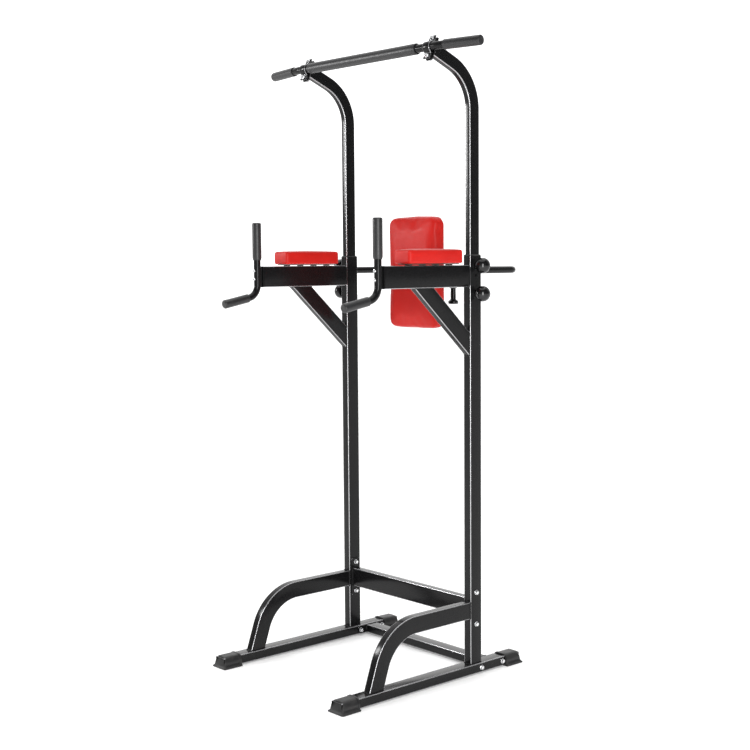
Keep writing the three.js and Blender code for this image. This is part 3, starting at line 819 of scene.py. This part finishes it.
def make_cross_member(node, width, height):
    """A tube along X between two flange plates, with a weld round each end."""
    low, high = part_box(node)
    centre = (low + high) / 2
    left = Vector((low.x, centre.y, centre.z))
    start = left + X * PLATE
    end = Vector((high.x - PLATE, centre.y, centre.z))
    build = straight_tube(start, end, width, height, Y, Z)
    for origin in (left, end):
        build.add(slab(high.y - low.y, high.z - low.z, 0.006, origin, Y, Z, PLATE))
    steel_tube(node, build)
    for point, away in ((start, X), (end, -X)):
        weld_on(lay(rounded(width, height, CORNER), point, Y, Z), away, seed=point.x)


def make_frame_bolts():
    """Bolts through the rails and the uprights, into the cross members' plates."""
    for side, sign in SIDES:
        middle_x = middle(f"floor_rail_{side}").x * sign
        rail_turns = {"front": 0.3 + sign, "rear": 0.9 + sign}
        beam_turns = {"upper": 0.6, "lower": 0.1}
        rail_half = size(f"floor_rail_{side}").x / 2
        for kind, half, turns in (("rail", rail_half, rail_turns), ("beam", UPRIGHT_WIDTH / 2, beam_turns)):
            for place, turn in turns.items():
                node = f"{kind}_bolt_{place}_{side}"
                centre = middle(node)
                origin = Vector((0, centre.y, centre.z))
                nut_at = middle_x - half - PLATE - GAP - SEAT
                bolt_set(node, bolt_build(origin, X * sign, middle_x + half + SEAT, nut_at, turn))


# ---- Uprights, stays ------------------------------------------------------------------------------


def make_upright(side, sign):
    node = f"upright_{side}"
    low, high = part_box(node)
    x = upright_x * sign
    start = Vector((x, upright_y, low.z))
    end = Vector((x, upright_y, high.z))
    obj = steel_tube(node, straight_tube(start, end, UPRIGHT_WIDTH, UPRIGHT_DEPTH, X, Y))
    drill(obj, Vector((x + sign * UPRIGHT_WIDTH / 2, upright_y, SPARE_HOLE)), X, 0.009, 0.006)
    outline = rounded(UPRIGHT_WIDTH, UPRIGHT_DEPTH, CORNER)
    weld_on(lay(outline, Vector((x, upright_y, rail_top)), X, Y), Z, seed=x)


def make_bush(side, sign):
    node = f"guide_bush_{side}"
    low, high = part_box(node)
    x = upright_x * sign
    top = high.z
    rings = []
    for inset, level in ((0.0032, low.z), (0.0030, top - 0.0042), (0.0002, top - 0.0038), (0, top - 0.003),
                         (0, top - 0.0014), (0.0012, top)):
        section = rounded(0.034 - 2 * inset, 0.055 - 2 * inset, 0.006)
        rings.append(lay(section, Vector((x, upright_y, level)), X, Y))
    bore = rounded(0.0252, 0.0472, 0.004)
    inner = [lay(bore, Vector((x, upright_y, level)), X, Y) for level in (low.z, top)]
    piece(f"{node}_collar", shelled(rings, inner), "black_plastic", "frame", (node,))


def make_stay(side, sign):
    node = f"arched_stay_{side}"
    x = upright_x * sign
    foot = (upright_y - STAY_REACH, rail_top - STAY_BURIED)
    stations = bent_path(foot, 90 - STAY_LEAN, [
        ("run", STAY_STRAIGHT + STAY_BURIED),
        ("bend", STAY_RADIUS, STAY_LEAN - 90, 26),
        ("run", 0.1),
    ])
    lean = Vector((0, math.cos(stations[0][2]), math.sin(stations[0][2])))
    shells = []
    for section in tube_sections(size(node).x, STAY_DEPTH):
        rings = side_rings(stations, x, section)
        rings[0] = slide_to(rings[0], lean, Vector((0, 0, rail_top + GAP)), Z)
        rings[-1] = slide_to(rings[-1], Y, Vector((0, upright_front - GAP, 0)), Y)
        shells.append(rings)
    steel_tube(node, shelled(*shells))
    weld_on(shells[0][0], Z, seed=x)
    weld_on(shells[0][-1], -Y, seed=x + 1)


# ---- Arms, braces, handles ------------------------------------------------------------------------

handle_y = middle("hand_grip_left").y
handle_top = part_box("dip_handle_left")[1].z
handle_stations = bent_path((handle_y, handle_top), -90, [
    ("run", handle_top - HANDLE_BEND_AT),
    ("bend", HANDLE_RADIUS, -HANDLE_TURN, 22),
    ("run", HANDLE_REACH),
])


def make_arm(side):
    node = f"arm_{side}"
    low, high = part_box(node)
    centre = (low + high) / 2
    width, height = high.x - low.x, high.z - low.z
    start = Vector((centre.x, low.y + PLATE, centre.z))
    end = Vector((centre.x, high.y, centre.z))
    shells = [[lay(section, start, X, Z)] for section in tube_sections(width, height)]
    for turn in (0, 18, 36, 54, 72):
        angle = math.radians(turn)
        trim = 2 * ARM_HEEL * (1 - math.cos(angle))
        spot = end - Y * ARM_HEEL * (1 - math.sin(angle))
        for rings, section in zip(shells, tube_sections(width, height - trim)):
            rings.append(lay(section, spot, X, Z))
    build = shelled(*shells)
    build.add(slab(width, height, CORNER, start, X, Z, PLATE, ARM_NOSE))
    steel_tube(node, build)
    weld_on(lay(rounded(width, height - trim, CORNER), end, X, Z), -Y, seed=centre.x)


def make_brace(side):
    node = f"arm_brace_{side}"
    low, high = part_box(node)
    x = (low.x + high.x) / 2
    slope = math.radians(BRACE_SLOPE)
    along = Vector((0, -math.cos(slope), math.sin(slope)))
    up = Vector((0, -math.sin(slope), -math.cos(slope)))
    origin = Vector((x, high.y, low.z)) - up * (BRACE_DEPTH / 2) + along * 0.06
    shells = []
    for section in tube_sections(high.x - low.x, BRACE_DEPTH):
        ring = lay(section, origin, X, up)
        shells.append([slide_to(ring, along, high, Y), slide_to(ring, along, high, Z)])
    steel_tube(node, shelled(*shells))
    weld_on(shells[0][0], -Y, seed=x + 2)
    weld_on(shells[0][1], -Z, seed=x + 3)


def make_handle(side, sign):
    rings = side_rings(handle_stations, upright_x * sign, circle(HANDLE_DIAMETER))
    steel_tube(f"dip_handle_{side}", lofted(rings))


def grip_profile(bore, outside, length, cap, nose=0.005, mouth_taper=0.0):
    """A sleeve with a closed rounded end: mouth at 0, closed end at length."""
    inner, outer = bore / 2, outside / 2
    return [
        (inner, 0),
        (outer - 0.0012 - mouth_taper, 0),
        (outer - mouth_taper, 0.0012),
        (outer, max(0.0022, mouth_taper * 6)),
        (outer, length * 0.35),
        (outer, length * 0.7),
        *arc(outer - nose, length - nose, nose, 0, 90, 8),
        (outer * 0.35, length),
        (0, length),
        (0, length - cap),
        (inner, length - cap),
    ]


def make_handle_grips(side, sign):
    x = upright_x * sign
    bore = HANDLE_DIAMETER + GRIP_PLAY
    node = f"hand_grip_{side}"
    low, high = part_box(node)
    cap = high.z - handle_top - GAP
    profile = grip_profile(bore, high.x - low.x, high.z - low.z, cap, mouth_taper=0.0016)
    build = turned(profile, Vector((x, handle_y, low.z)), Z)
    piece(f"{node}_sleeve", build, "dark_grip", "frame", (node,))
    node = f"dip_grip_{side}"
    a, b, angle = handle_stations[-1]
    along = Vector((0, math.cos(angle), math.sin(angle)))
    profile = grip_profile(bore, size(node).x, DIP_GRIP_LENGTH, DIP_GRIP_CAP - GAP)
    origin = Vector((x, a, b)) + along * (DIP_GRIP_CAP - DIP_GRIP_LENGTH)
    piece(f"{node}_sleeve", turned(profile, origin, along), "dark_grip", "frame", (node,))


def make_handle_screws(side, sign):
    node = f"handle_screws_{side}"
    front = handle_y - HANDLE_DIAMETER / 2 - SEAT
    build = Build()
    for z in HANDLE_SCREWS:
        build.add(socket_head(Vector((upright_x * sign, front, z)), -Y, 0.011, 0.0045, 0.006, 0.020))
    piece(f"{node}_pair", build, "zinc_steel", "frame", (node,))


# ---- Upper tubes, clamps, pull-up bar -------------------------------------------------------------

neck_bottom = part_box("upper_tube_left")[0].z
neck_stations = bent_path((upright_y, neck_bottom), 90, [
    ("run", NECK_BEND_AT - neck_bottom),
    ("bend", NECK_RADIUS, 90 - NECK_RISE, 28),
    ("run", NECK_RUN),
])
tip_y, tip_z, tip_angle = neck_stations[-1]
tip_out = Vector((0, math.cos(tip_angle), math.sin(tip_angle)))
tip_up = Vector((0, -math.sin(tip_angle), math.cos(tip_angle)))
bar_offset = PLATE + GAP + BAR_DIAMETER / 2
bar_y = tip_y + math.cos(tip_angle) * bar_offset
bar_z = tip_z + math.sin(tip_angle) * bar_offset
bar_dip = math.radians(BAR_DIP)
bar_back = Vector((0, math.cos(bar_dip), -math.sin(bar_dip)))
bar_normal = Vector((0, math.sin(bar_dip), math.cos(bar_dip)))


def make_upper_tube(side, sign):
    node = f"upper_tube_{side}"
    x = upright_x * sign
    sections = tube_sections(NECK_WIDTH, NECK_DEPTH, NECK_CORNER, NECK_CORNER - WALL)
    build = shelled(*(side_rings(neck_stations, x, section) for section in sections))
    tip = Vector((x, tip_y, tip_z))
    build.add(slab(SADDLE_PLATE, SADDLE_WIDTH, 0.005, tip, tip_up, X, PLATE))
    piece(f"{node}_steel", build, "black_steel", "bar_assembly", (node,))
    bead = weld(lay(sections[0], tip, X, tip_up), -tip_out, 0.0018, x)
    piece(f"{node}_weld", bead, "black_steel", "bar_assembly", sharp=80)


def make_saddle(side, sign):
    """A strap bent over the bar, with an ear above and one below that take the clamp's bolts."""
    node = f"bar_saddle_{side}"
    tip = Vector((upright_x * sign, tip_y, tip_z))
    radius = BAR_DIAMETER / 2 + GAP + SADDLE_THICKNESS / 2
    turn = 90 - SADDLE_FLANK
    flank, rest = math.radians(SADDLE_FLANK), math.radians(turn)
    ear_level = bar_offset - SADDLE_LIFT
    drop = (radius * math.cos(rest) + SADDLE_LIFT) / math.cos(flank)
    corner = radius * math.sin(rest) + drop * math.sin(flank)
    trim = SADDLE_BEND * math.tan(rest / 2)
    ear = SADDLE_EAR - corner - trim
    stations = bent_path((ear_level, SADDLE_EAR), -90, [
        ("run", ear),
        ("bend", SADDLE_BEND, turn, 6),
        ("run", drop - trim),
        ("bend", radius, -2 * turn, 24),
        ("run", drop - trim),
        ("bend", SADDLE_BEND, turn, 6),
        ("run", ear),
    ])
    section = rounded(SADDLE_WIDTH, SADDLE_THICKNESS, 0.0009, 3)
    rings = []
    for a, b, angle in stations:
        normal = tip_up * math.cos(angle) - tip_out * math.sin(angle)
        rings.append(lay(section, tip + tip_out * a + tip_up * b, X, normal))
    piece(f"{node}_strap", lofted(rings), "black_steel", "bar_assembly", (node,))
    for level, way in (("upper", 1), ("lower", -1)):
        bolt_node = f"clamp_bolt_{level}_{side}"
        offset = tip_up * (middle(bolt_node) - tip).dot(tip_up)
        head_at = ear_level + SADDLE_THICKNESS / 2 + SEAT
        bolt_set(bolt_node, bolt_build(tip + offset, tip_out, head_at, -0.0012, 0.5 + way), "bar_assembly")


def bar_stations():
    """The right-hand end is first. a is X and b lies in the bar's tipped plane."""
    run = BAR_REACH - BAR_BEND_AT - BAR_BEND_LENGTH
    half = bent_path((0, 0), 0, [("run", BAR_BEND_AT), ("bend", BAR_BEND_RADIUS, BAR_SWEEP, 6), ("run", run)])
    return [(-a, b, -angle) for a, b, angle in reversed(half)][:-1] + half[1:]


def bar_point(a, b):
    return Vector((a, bar_y, bar_z)) + bar_back * b


def make_bar():
    rings = []
    for a, b, angle in bar_stations():
        across = bar_back * math.cos(angle) - X * math.sin(angle)
        rings.append(lay(circle(BAR_DIAMETER, 48), bar_point(a, b), across, bar_normal))
    steel_tube("pull_up_bar", lofted(rings), "bar_assembly")
    low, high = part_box("bar_sleeve")
    inner = BAR_DIAMETER / 2 + GAP / 2
    outer = SLEEVE_DIAMETER / 2
    bend = 0.0025
    profile = [
        (inner, low.x),
        *reversed(arc(outer - bend, low.x + bend, bend, 0, -90)),
        *[(outer, low.x + (high.x - low.x) * k / 10) for k in range(1, 10)],
        *arc(outer - bend, high.x - bend, bend, 0, 90),
        (inner, high.x),
    ]
    sleeve = turned(profile, bar_point(0, 0), X, 64)
    piece("bar_sleeve_foam", sleeve, "grey_grip", "bar_assembly", ("bar_sleeve",))
    a, b, angle = bar_stations()[-1]
    for side, sign in SIDES:
        node = f"bar_grip_{side}"
        along = (X * math.cos(angle) * sign + bar_back * math.sin(angle)).normalized()
        end = bar_point(a * sign, b)
        bore, cap = BAR_DIAMETER + GRIP_PLAY, END_GRIP_CAP - GAP
        profile = grip_profile(bore, END_GRIP, END_GRIP_LENGTH, cap, nose=0.004)
        grip = turned(profile, end - along * (END_GRIP_LENGTH - END_GRIP_CAP), along)
        piece(f"{node}_sleeve", grip, "grey_grip", "bar_assembly", (node,))


# ---- Lock knobs -----------------------------------------------------------------------------------

upright_face = upright_x + UPRIGHT_WIDTH / 2
boss_top = upright_face + BOSS_HEIGHT


def make_lock_knob(level, side, sign):
    node = f"{level}_lock_knob_{side}"
    body = f"{level}_knob_{side}"
    low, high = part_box(node)
    end = max(abs(low.x), abs(high.x))
    origin = Vector((0, upright_y, middle(node).z))
    ball = end - KNOB_HALF_DEPTH
    skirt = boss_top + KNOB_STANDOFF
    neck = KNOB_NECK / 2
    profile = [(0, skirt + 0.004), (0.006, skirt + 0.004), (0.0065, skirt), (neck - 0.0006, skirt)]
    profile += [(neck, skirt + 0.0008), (neck, skirt + 0.004)]
    first = math.acos((skirt + 0.007 - ball) / KNOB_HALF_DEPTH)
    for step in range(20):
        angle = first * (1 - step / 20)
        profile.append((KNOB_HEAD / 2 * math.sin(angle) ** 0.9, ball + KNOB_HALF_DEPTH * math.cos(angle)))
    profile.append((0, end))
    piece(f"{node}_ball", turned(profile, origin, X * sign, 72), "black_plastic", body, (node,), sharp=38)
    seat = boss_top + GAP
    profile = [(0, upright_face - 0.004), (0.005, upright_face - 0.004), (0.005, seat), (0.0090, seat)]
    profile += [(0.0095, boss_top + 0.0006), (0.0095, skirt - 0.0006)]
    profile += [(0.0090, skirt - 0.0002), (0, skirt - 0.0002)]
    piece(f"{node}_stud", turned(profile, origin, X * sign), "zinc_steel", body)


def make_boss(side, sign):
    """Threaded bosses welded on the upright, and a bead round each."""
    radius = BOSS_DIAMETER / 2
    base, top = upright_face - 0.001, boss_top
    profile = [(0.0055, base), (radius, base), (radius, top - 0.001), (radius - 0.001, top), (0.0063, top)]
    profile += [(0.0055, top - 0.0008)]
    build = Build()
    for level in ("upper", "lower"):
        z = middle(f"{level}_lock_knob_{side}").z
        origin = Vector((0, upright_y, z))
        build.add(turned(profile, origin, X * sign, 56))
        outline = lay(circle(BOSS_DIAMETER), origin + X * sign * upright_face, Y, Z)
        if sign > 0:
            outline.reverse()
        weld_on(outline, X * sign, z, 0.0016)
    piece(f"upright_{side}_bosses", build, "black_steel", "frame")


# ---- Rear tube, slide, backrest -------------------------------------------------------------------

slide_low, slide_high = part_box("backrest_slide")
slide_z = (slide_low.z + slide_high.z) / 2
rear_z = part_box("rear_frame")[1].z - REAR_DIAMETER / 2
rear_back = upright_y + REAR_REACH
slide_place = Vector((0, slide_low.y, slide_z))


def make_rear_frame():
    start = upright_y + UPRIGHT_DEPTH / 2 + GAP
    side_run = rear_back - start - REAR_BEND_RADIUS
    stations = bent_path((upright_x, start), 90, [
        ("run", side_run),
        ("bend", REAR_BEND_RADIUS, 90, 16),
        ("run", 2 * (upright_x - REAR_BEND_RADIUS)),
        ("bend", REAR_BEND_RADIUS, 90, 16),
        ("run", side_run),
    ])
    build = lofted(flat_rings(stations, rear_z, circle(REAR_DIAMETER)))
    sleeve_y = upright_y + SLEEVE_AT
    ends = [Vector((0, sleeve_y + way * SLEEVE_HALF_LENGTH, slide_z)) for way in (-1, 1)]
    build.add(straight_tube(*ends, SQUARE_SLEEVE, SQUARE_SLEEVE, X, Z, CORNER, SQUARE_WALL))
    obj = steel_tube("rear_frame", build)
    drill(obj, Vector((0, middle("backrest_lock_knob").y, slide_z - SQUARE_SLEEVE / 2)), Z, 0.011, 0.006)
    for a, b, angle in (stations[0], stations[-1]):
        weld_on(lay(circle(REAR_DIAMETER), Vector((a, b, rear_z)), X, Z), Y, seed=a)
    reach = SQUARE_SLEEVE / 2 - 0.004
    level = slide_z + SQUARE_SLEEVE / 2 + 0.0006
    for y in (rear_back + 0.0075, rear_back - 0.0075):
        welds.add(open_weld([Vector((reach * k / 10, y, level)) for k in range(-10, 11)], Z, WELD))


def make_slide():
    start = slide_place + Y * PLATE
    end = Vector((0, slide_high.y, slide_z))
    build = straight_tube(start, end, SLIDE_SIZE, SLIDE_SIZE, X, Z)
    wide, tall = slide_high.x - slide_low.x, slide_high.z - slide_low.z
    build.add(slab(tall, wide, 0.010, slide_place, Z, X, PLATE))
    steel_tube("backrest_slide", build, "backrest")
    bead = weld(lay(rounded(SLIDE_SIZE, SLIDE_SIZE, CORNER), start, Z, X), Y, seed=1.0)
    piece("backrest_slide_weld", bead, "black_steel", "backrest", sharp=80)
    screws = Build()
    for across in (-1, 1):
        for up in (-1, 1):
            spot = start + X * across * (wide / 2 - 0.018) + Z * up * (tall / 2 - 0.018)
            screws.add(washer(spot, Y, 0.0001, bore=0.003))
            screws.add(hex_block(spot, Y, 0.010, 0.0017, 0.0060, turn=0.4 + across + up))
    piece("backrest_plate_screws", screws, "zinc_steel", "backrest")


def make_plug():
    """A stub inside the slide's rear end, and a domed cap behind it."""
    base = slide_high.y + GAP
    inside = SLIDE_SIZE - 2 * WALL - 2 * GAP
    stub = rounded(inside, inside, 0.003)
    rings = [lay(stub, Vector((0, y, slide_z)), Z, X) for y in (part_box("slide_plug")[0].y, base)]
    for inset, along in ((0.0002, 0), (0, 0.0003), (0, 0.0018), (0.0005, 0.0028), (0.0016, 0.0035),
                         (0.0034, 0.0037)):
        section = rounded(SLIDE_SIZE - 2 * inset, SLIDE_SIZE - 2 * inset, CORNER)
        rings.append(lay(section, Vector((0, base + along, slide_z)), Z, X))
    piece("slide_plug_cap", lofted(rings), "black_plastic", "backrest", ("slide_plug",))


def make_pull_knob():
    node = "backrest_lock_knob"
    low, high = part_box(node)
    top = slide_z - SQUARE_SLEEVE / 2 - GAP
    foot = low.z
    base = (high.x - low.x) / 2
    stem = 0.010
    flare = 0.003
    origin = Vector((0, middle(node).y, 0))
    profile = [
        (0, foot + 0.0006),
        (base * 0.55, foot + 0.0006),
        (base * 0.62, foot),
        *arc(base - 0.003, foot + 0.003, 0.003, -90, 0),
        *arc(base - 0.003, foot + 0.0095, 0.003, 0, 70),
        *reversed(arc(stem + 0.006, foot + 0.0205, 0.006, 180, 262, 8)),
        (stem, foot + 0.034),
        (stem, top - 0.010),
        *reversed(arc(stem + flare, top - 0.007, flare, 90, 180)),
        (0.0135, top - 0.004),
        (0.014, top - 0.0034),
        (0.014, top - 0.0006),
        (0.0134, top),
        (0.0052, top),
        (0, top),
    ]
    piece(f"{node}_grip", turned(profile, origin, Z, 64), "black_plastic", "backrest_knob", (node,), sharp=38)
    piece(f"{node}_screw", thread(origin, Z, 0.010, top - 0.002, high.z), "zinc_steel", "backrest_knob")


# ---- Upholstery -----------------------------------------------------------------------------------

BOARD_BEVEL = 0.0012
SPACER_LIFT = 0.0030  # of the forearm rest's plywood above its arm
HELD = 0.004  # depth of a pad's back that stays put while it is inflated


def make_forearm_board(side):
    node = f"forearm_board_{side}"
    low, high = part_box(node)
    x, y = (low.x + high.x) / 2, (low.y + high.y) / 2
    bottom = Vector((x, y, low.z + SPACER_LIFT))
    thickness = high.z - low.z - SPACER_LIFT
    board = slab(high.x - low.x, high.y - low.y, 0.008, bottom, X, Y, thickness, BOARD_BEVEL)
    piece(f"{node}_ply", board, "board_wood", "frame", (node,))
    feet = Build()
    for k in range(4):
        y = low.y + 0.022 + (high.y - low.y - 0.044) * k / 3
        feet.add(slab(0.022, 0.016, 0.003, Vector((x, y, low.z)), X, Y, SPACER_LIFT - 0.0001, 0.0004))
    piece(f"{node}_spacers", feet, "black_rubber", "frame")


def make_backrest_board():
    low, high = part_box("backrest_board")
    front = Vector(((low.x + high.x) / 2, low.y, (low.z + high.z) / 2))
    board = slab(high.z - low.z, high.x - low.x, 0.024, front, Z, X, high.y - low.y, BOARD_BEVEL)
    piece("backrest_board_ply", board, "board_wood", "backrest", ("backrest_board",))


def pad_shape(low, high, corner, bevel, back, inset):
    """A rounded block, lofted from its back face to its front face along one axis."""
    centre = (low + high) / 2
    wide = high.x - low.x
    if back == "z":
        up, tall, deep = Y, high.y - low.y, high.z - low.z
        origin = Vector((centre.x, centre.y, low.z))
    else:
        up, tall, deep = Z, high.z - low.z, high.y - low.y
        origin = Vector((centre.x, high.y, centre.z))
    axis = X.cross(up)
    levels = [(0.003, 0.0), (0.001, 0.002), (0.0, 0.006), (0.0, deep - inset - bevel)]
    for step in range(1, 7):
        angle = math.radians(15 * step)
        levels.append((bevel * (1 - math.cos(angle)), deep - inset - bevel * (1 - math.sin(angle))))
    rings = []
    for narrow, level in levels:
        pull = narrow + inset
        section = rounded(wide - 2 * pull, tall - 2 * pull, max(corner - narrow, 0.004), 8)
        rings.append(lay(section, origin + axis * level, X, up))
    return lofted(rings)


def inflate(obj, voxel, cap, hold):
    """Cloth under pressure, applied to the mesh. hold says which points stay put, and cap limits the rest."""
    remesh = obj.modifiers.new("remesh", "REMESH")
    remesh.mode = "VOXEL"
    remesh.voxel_size = voxel
    settle(obj)
    start = [v.co.copy() for v in obj.data.vertices]
    group = obj.vertex_groups.new(name="hold")
    group.add([i for i, p in enumerate(start) if hold(p)], 1.0, "REPLACE")
    settings = obj.modifiers.new("cloth", "CLOTH").settings
    settings.vertex_group_mass = "hold"
    settings.use_pressure = True
    settings.uniform_pressure_force = 3.0
    settings.effector_weights.gravity = 0
    settings.quality = 5
    settings.mass = 0.3
    settings.tension_stiffness = 20
    settings.compression_stiffness = 20
    settings.shear_stiffness = 8
    settings.bending_stiffness = 15.0
    scene = bpy.context.scene
    for frame_number in range(1, 21):
        scene.frame_set(frame_number)
    settle(obj)
    scene.frame_set(1)
    for vertex, before in zip(obj.data.vertices, start):
        move = vertex.co - before
        if move.length > cap:
            vertex.co = before + move * (cap / move.length)
    obj.vertex_groups.clear()


def make_pad(node, body, corner, bevel, back, voxel, cap, smoothing, inset):
    """An upholstered cushion on the face of its board that back names, pleated round its corners."""
    low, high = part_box(node)
    name = f"{node}_cushion"
    obj = placed(name, mesh_of(name, pad_shape(low, high, corner, bevel, back, inset)))

    def hold(p):
        return p.z < low.z + HELD if back == "z" else p.y > high.y - HELD

    inflate(obj, voxel, cap, hold)
    smooth = obj.modifiers.new("smooth", "SMOOTH")
    smooth.factor = 0.5
    smooth.iterations = smoothing
    settle(obj)
    subdivide = obj.modifiers.new("fine", "SUBSURF")
    subdivide.levels = 1
    subdivide.render_levels = 1
    settle(obj)
    centre = (low + high) / 2
    half = (high - low) / 2
    for vertex in obj.data.vertices:
        p = vertex.co
        u = (p.x - centre.x) / half.x
        if back == "z":
            rise, v = p.z - low.z, (p.y - centre.y) / half.y
            away = Vector((u, v, 0))
        else:
            rise, v = high.y - p.y, (p.z - centre.z) / half.z
            away = Vector((u, 0, v))
        pleat_zone = max(0.0, min(abs(u), abs(v)) - 0.72) / 0.28
        fade = max(0.0, 1 - rise / 0.022)
        fold = math.sin(math.atan2(abs(v) * half.length, abs(u) * half.length) * 46)
        shift = 0.0009 * fold * pleat_zone * fade
        ripple = 0.0006 * noise.noise(p * 22) * (1 - fade)
        p += away.normalized() * (shift + ripple)
        if back == "z":
            p.z = max(p.z, low.z + 0.0001)
            p.z += 0.0005 * noise.noise(p * 16) if rise > 0.02 else 0
        else:
            p.y = min(p.y, high.y - 0.0001)
            p.y += 0.0007 * noise.noise(p * 13) if rise > 0.02 else 0
    mesh = obj.data
    mesh.shade_smooth()
    mesh.materials.clear()
    mesh.materials.append(LOOKS["red_vinyl"])
    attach(obj, body)
    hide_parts(node)


# ---- The whole tower ------------------------------------------------------------------------------

for side, sign in SIDES:
    make_rail(side)
make_boots()
make_cross_member("floor_cross_tube", *CROSS_TUBE)
make_cross_member("lower_cross_beam", *CROSS_BEAM)
make_frame_bolts()
for side, sign in SIDES:
    make_upright(side, sign)
    make_boss(side, sign)
    make_bush(side, sign)
    make_stay(side, sign)
    make_arm(side)
    make_brace(side)
    make_handle(side, sign)
    make_handle_grips(side, sign)
    make_handle_screws(side, sign)
    make_upper_tube(side, sign)
    make_saddle(side, sign)
    make_forearm_board(side)
    make_pad(f"forearm_pad_{side}", "frame", corner=0.009, bevel=0.007, back="z", voxel=0.004, cap=0.004,
             smoothing=3, inset=0.0014)
    for level in ("upper", "lower"):
        make_lock_knob(level, side, sign)
make_bar()
make_rear_frame()
make_slide()
make_plug()
make_pull_knob()
make_backrest_board()
make_pad("backrest_pad", "backrest", corner=0.030, bevel=0.013, back="y", voxel=0.006, cap=0.009,
         smoothing=10, inset=-0.003)
piece("weld_beads", welds, "black_steel", "frame", sharp=80)

# ---- Floor, light, camera -------------------------------------------------------------------------

FLOOR_REACH = 40.0
FLOOR_WHITE = (0.96, 0.96, 0.96, 1)
WORLD_AXIS = (-0.70, 0.62, 0.36)
WORLD_SIDES = 0.14
WORLD_ENDS = 1.1
WORLD_TILT = 0.45

floor_material = bpy.data.materials.new("studio_floor")
floor_material.use_nodes = True
floor_inputs = floor_material.node_tree.nodes["Principled BSDF"].inputs
floor_inputs["Base Color"].default_value = FLOOR_WHITE
floor_inputs["Roughness"].default_value = 0.9
floor_inputs["Emission Color"].default_value = FLOOR_WHITE
floor_inputs["Emission Strength"].default_value = 0.2
floor_mesh = bpy.data.meshes.new("studio_floor")
floor_corners = [(u * FLOOR_REACH, v * FLOOR_REACH, 0) for u, v in ((-1, -1), (1, -1), (1, 1), (-1, 1))]
floor_mesh.from_pydata(floor_corners, [], [(0, 1, 2, 3)])
floor_mesh.materials.append(floor_material)
floor = bpy.data.objects.new("studio_floor", floor_mesh)
bpy.context.scene.collection.objects.link(floor)

# The studio is brightest beyond the tower, bright before it too, and dark at both sides, so that flat
# black faces stay dark: the strength is (WORLD_ENDS * dot + WORLD_TILT) * dot + WORLD_SIDES.
world = bpy.data.worlds.new("studio")
world.use_nodes = True
sky = world.node_tree


def sky_math(operation, *values):
    """A math node in the world, fed by sockets or by numbers."""
    node = sky.nodes.new("ShaderNodeMath")
    node.operation = operation
    for socket, value in zip(node.inputs, values):
        if isinstance(value, float):
            socket.default_value = value
        else:
            sky.links.new(value, socket)
    return node.outputs["Value"]


along_axis = sky.nodes.new("ShaderNodeVectorMath")
along_axis.operation = "DOT_PRODUCT"
along_axis.inputs[1].default_value = WORLD_AXIS
sky.links.new(sky.nodes.new("ShaderNodeTexCoord").outputs["Generated"], along_axis.inputs[0])
dot = along_axis.outputs["Value"]
brightness = sky_math("MULTIPLY_ADD", sky_math("MULTIPLY_ADD", dot, WORLD_ENDS, WORLD_TILT), dot, WORLD_SIDES)
# Seen directly, the backdrop is plain white from every side.
camera_ray = sky.nodes.new("ShaderNodeLightPath").outputs["Is Camera Ray"]
background = sky.nodes["Background"]
background.inputs["Color"].default_value = (1, 1, 1, 1)
sky.links.new(sky_math("MAXIMUM", brightness, camera_ray), background.inputs["Strength"])
bpy.context.scene.world = world


def area_light(name, place, target, width, height, power):
    light = bpy.data.lights.new(name, "AREA")
    light.shape = "RECTANGLE"
    light.size = width
    light.size_y = height
    light.energy = power
    obj = bpy.data.objects.new(name, light)
    obj.location = place
    obj.visible_camera = False
    obj.rotation_euler = (Vector(target) - Vector(place)).to_track_quat("-Z", "Y").to_euler()
    bpy.context.scene.collection.objects.link(obj)


area_light("strip", (4.2, -2.3, 1.5), (0, 0, 1.5), width=1.3, height=3.4, power=150)
area_light("fill", (-3.1, -2.75, 2.3), (0, -0.3, 2.2), width=0.7, height=0.9, power=60)
sun = bpy.data.lights.new("overhead", "SUN")
sun.energy = 1.4
sun.angle = math.radians(70)
bpy.context.scene.collection.objects.link(bpy.data.objects.new("overhead", sun))

CAMERA_PLACE = (3.5386, -3.1278, 1.4641)
CAMERA_AZIMUTH = 48.63
CAMERA_PITCH = 4.956
CAMERA_ROLL = -0.455
CAMERA_LENS = 63.07

azimuth, pitch, roll = (math.radians(d) for d in (CAMERA_AZIMUTH, CAMERA_PITCH, CAMERA_ROLL))
level_forward = Vector((-math.sin(azimuth), math.cos(azimuth), 0))
forward = level_forward * math.cos(pitch) - Z * math.sin(pitch)
level_right = Vector((math.cos(azimuth), math.sin(azimuth), 0))
level_up = level_right.cross(forward)
camera_right = level_right * math.cos(roll) + level_up * math.sin(roll)
camera_up = level_up * math.cos(roll) - level_right * math.sin(roll)
camera_data = bpy.data.cameras.new("camera")
camera_data.lens = CAMERA_LENS
camera_data.sensor_width = 36
camera = bpy.data.objects.new("camera", camera_data)
camera_turn = Matrix((camera_right, camera_up, -forward)).transposed().to_4x4()
camera.matrix_world = Matrix.Translation(CAMERA_PLACE) @ camera_turn
bpy.context.scene.collection.objects.link(camera)
bpy.context.scene.camera = camera

scene = bpy.context.scene
scene.view_settings.view_transform = "Standard"
scene.view_settings.look = "None"
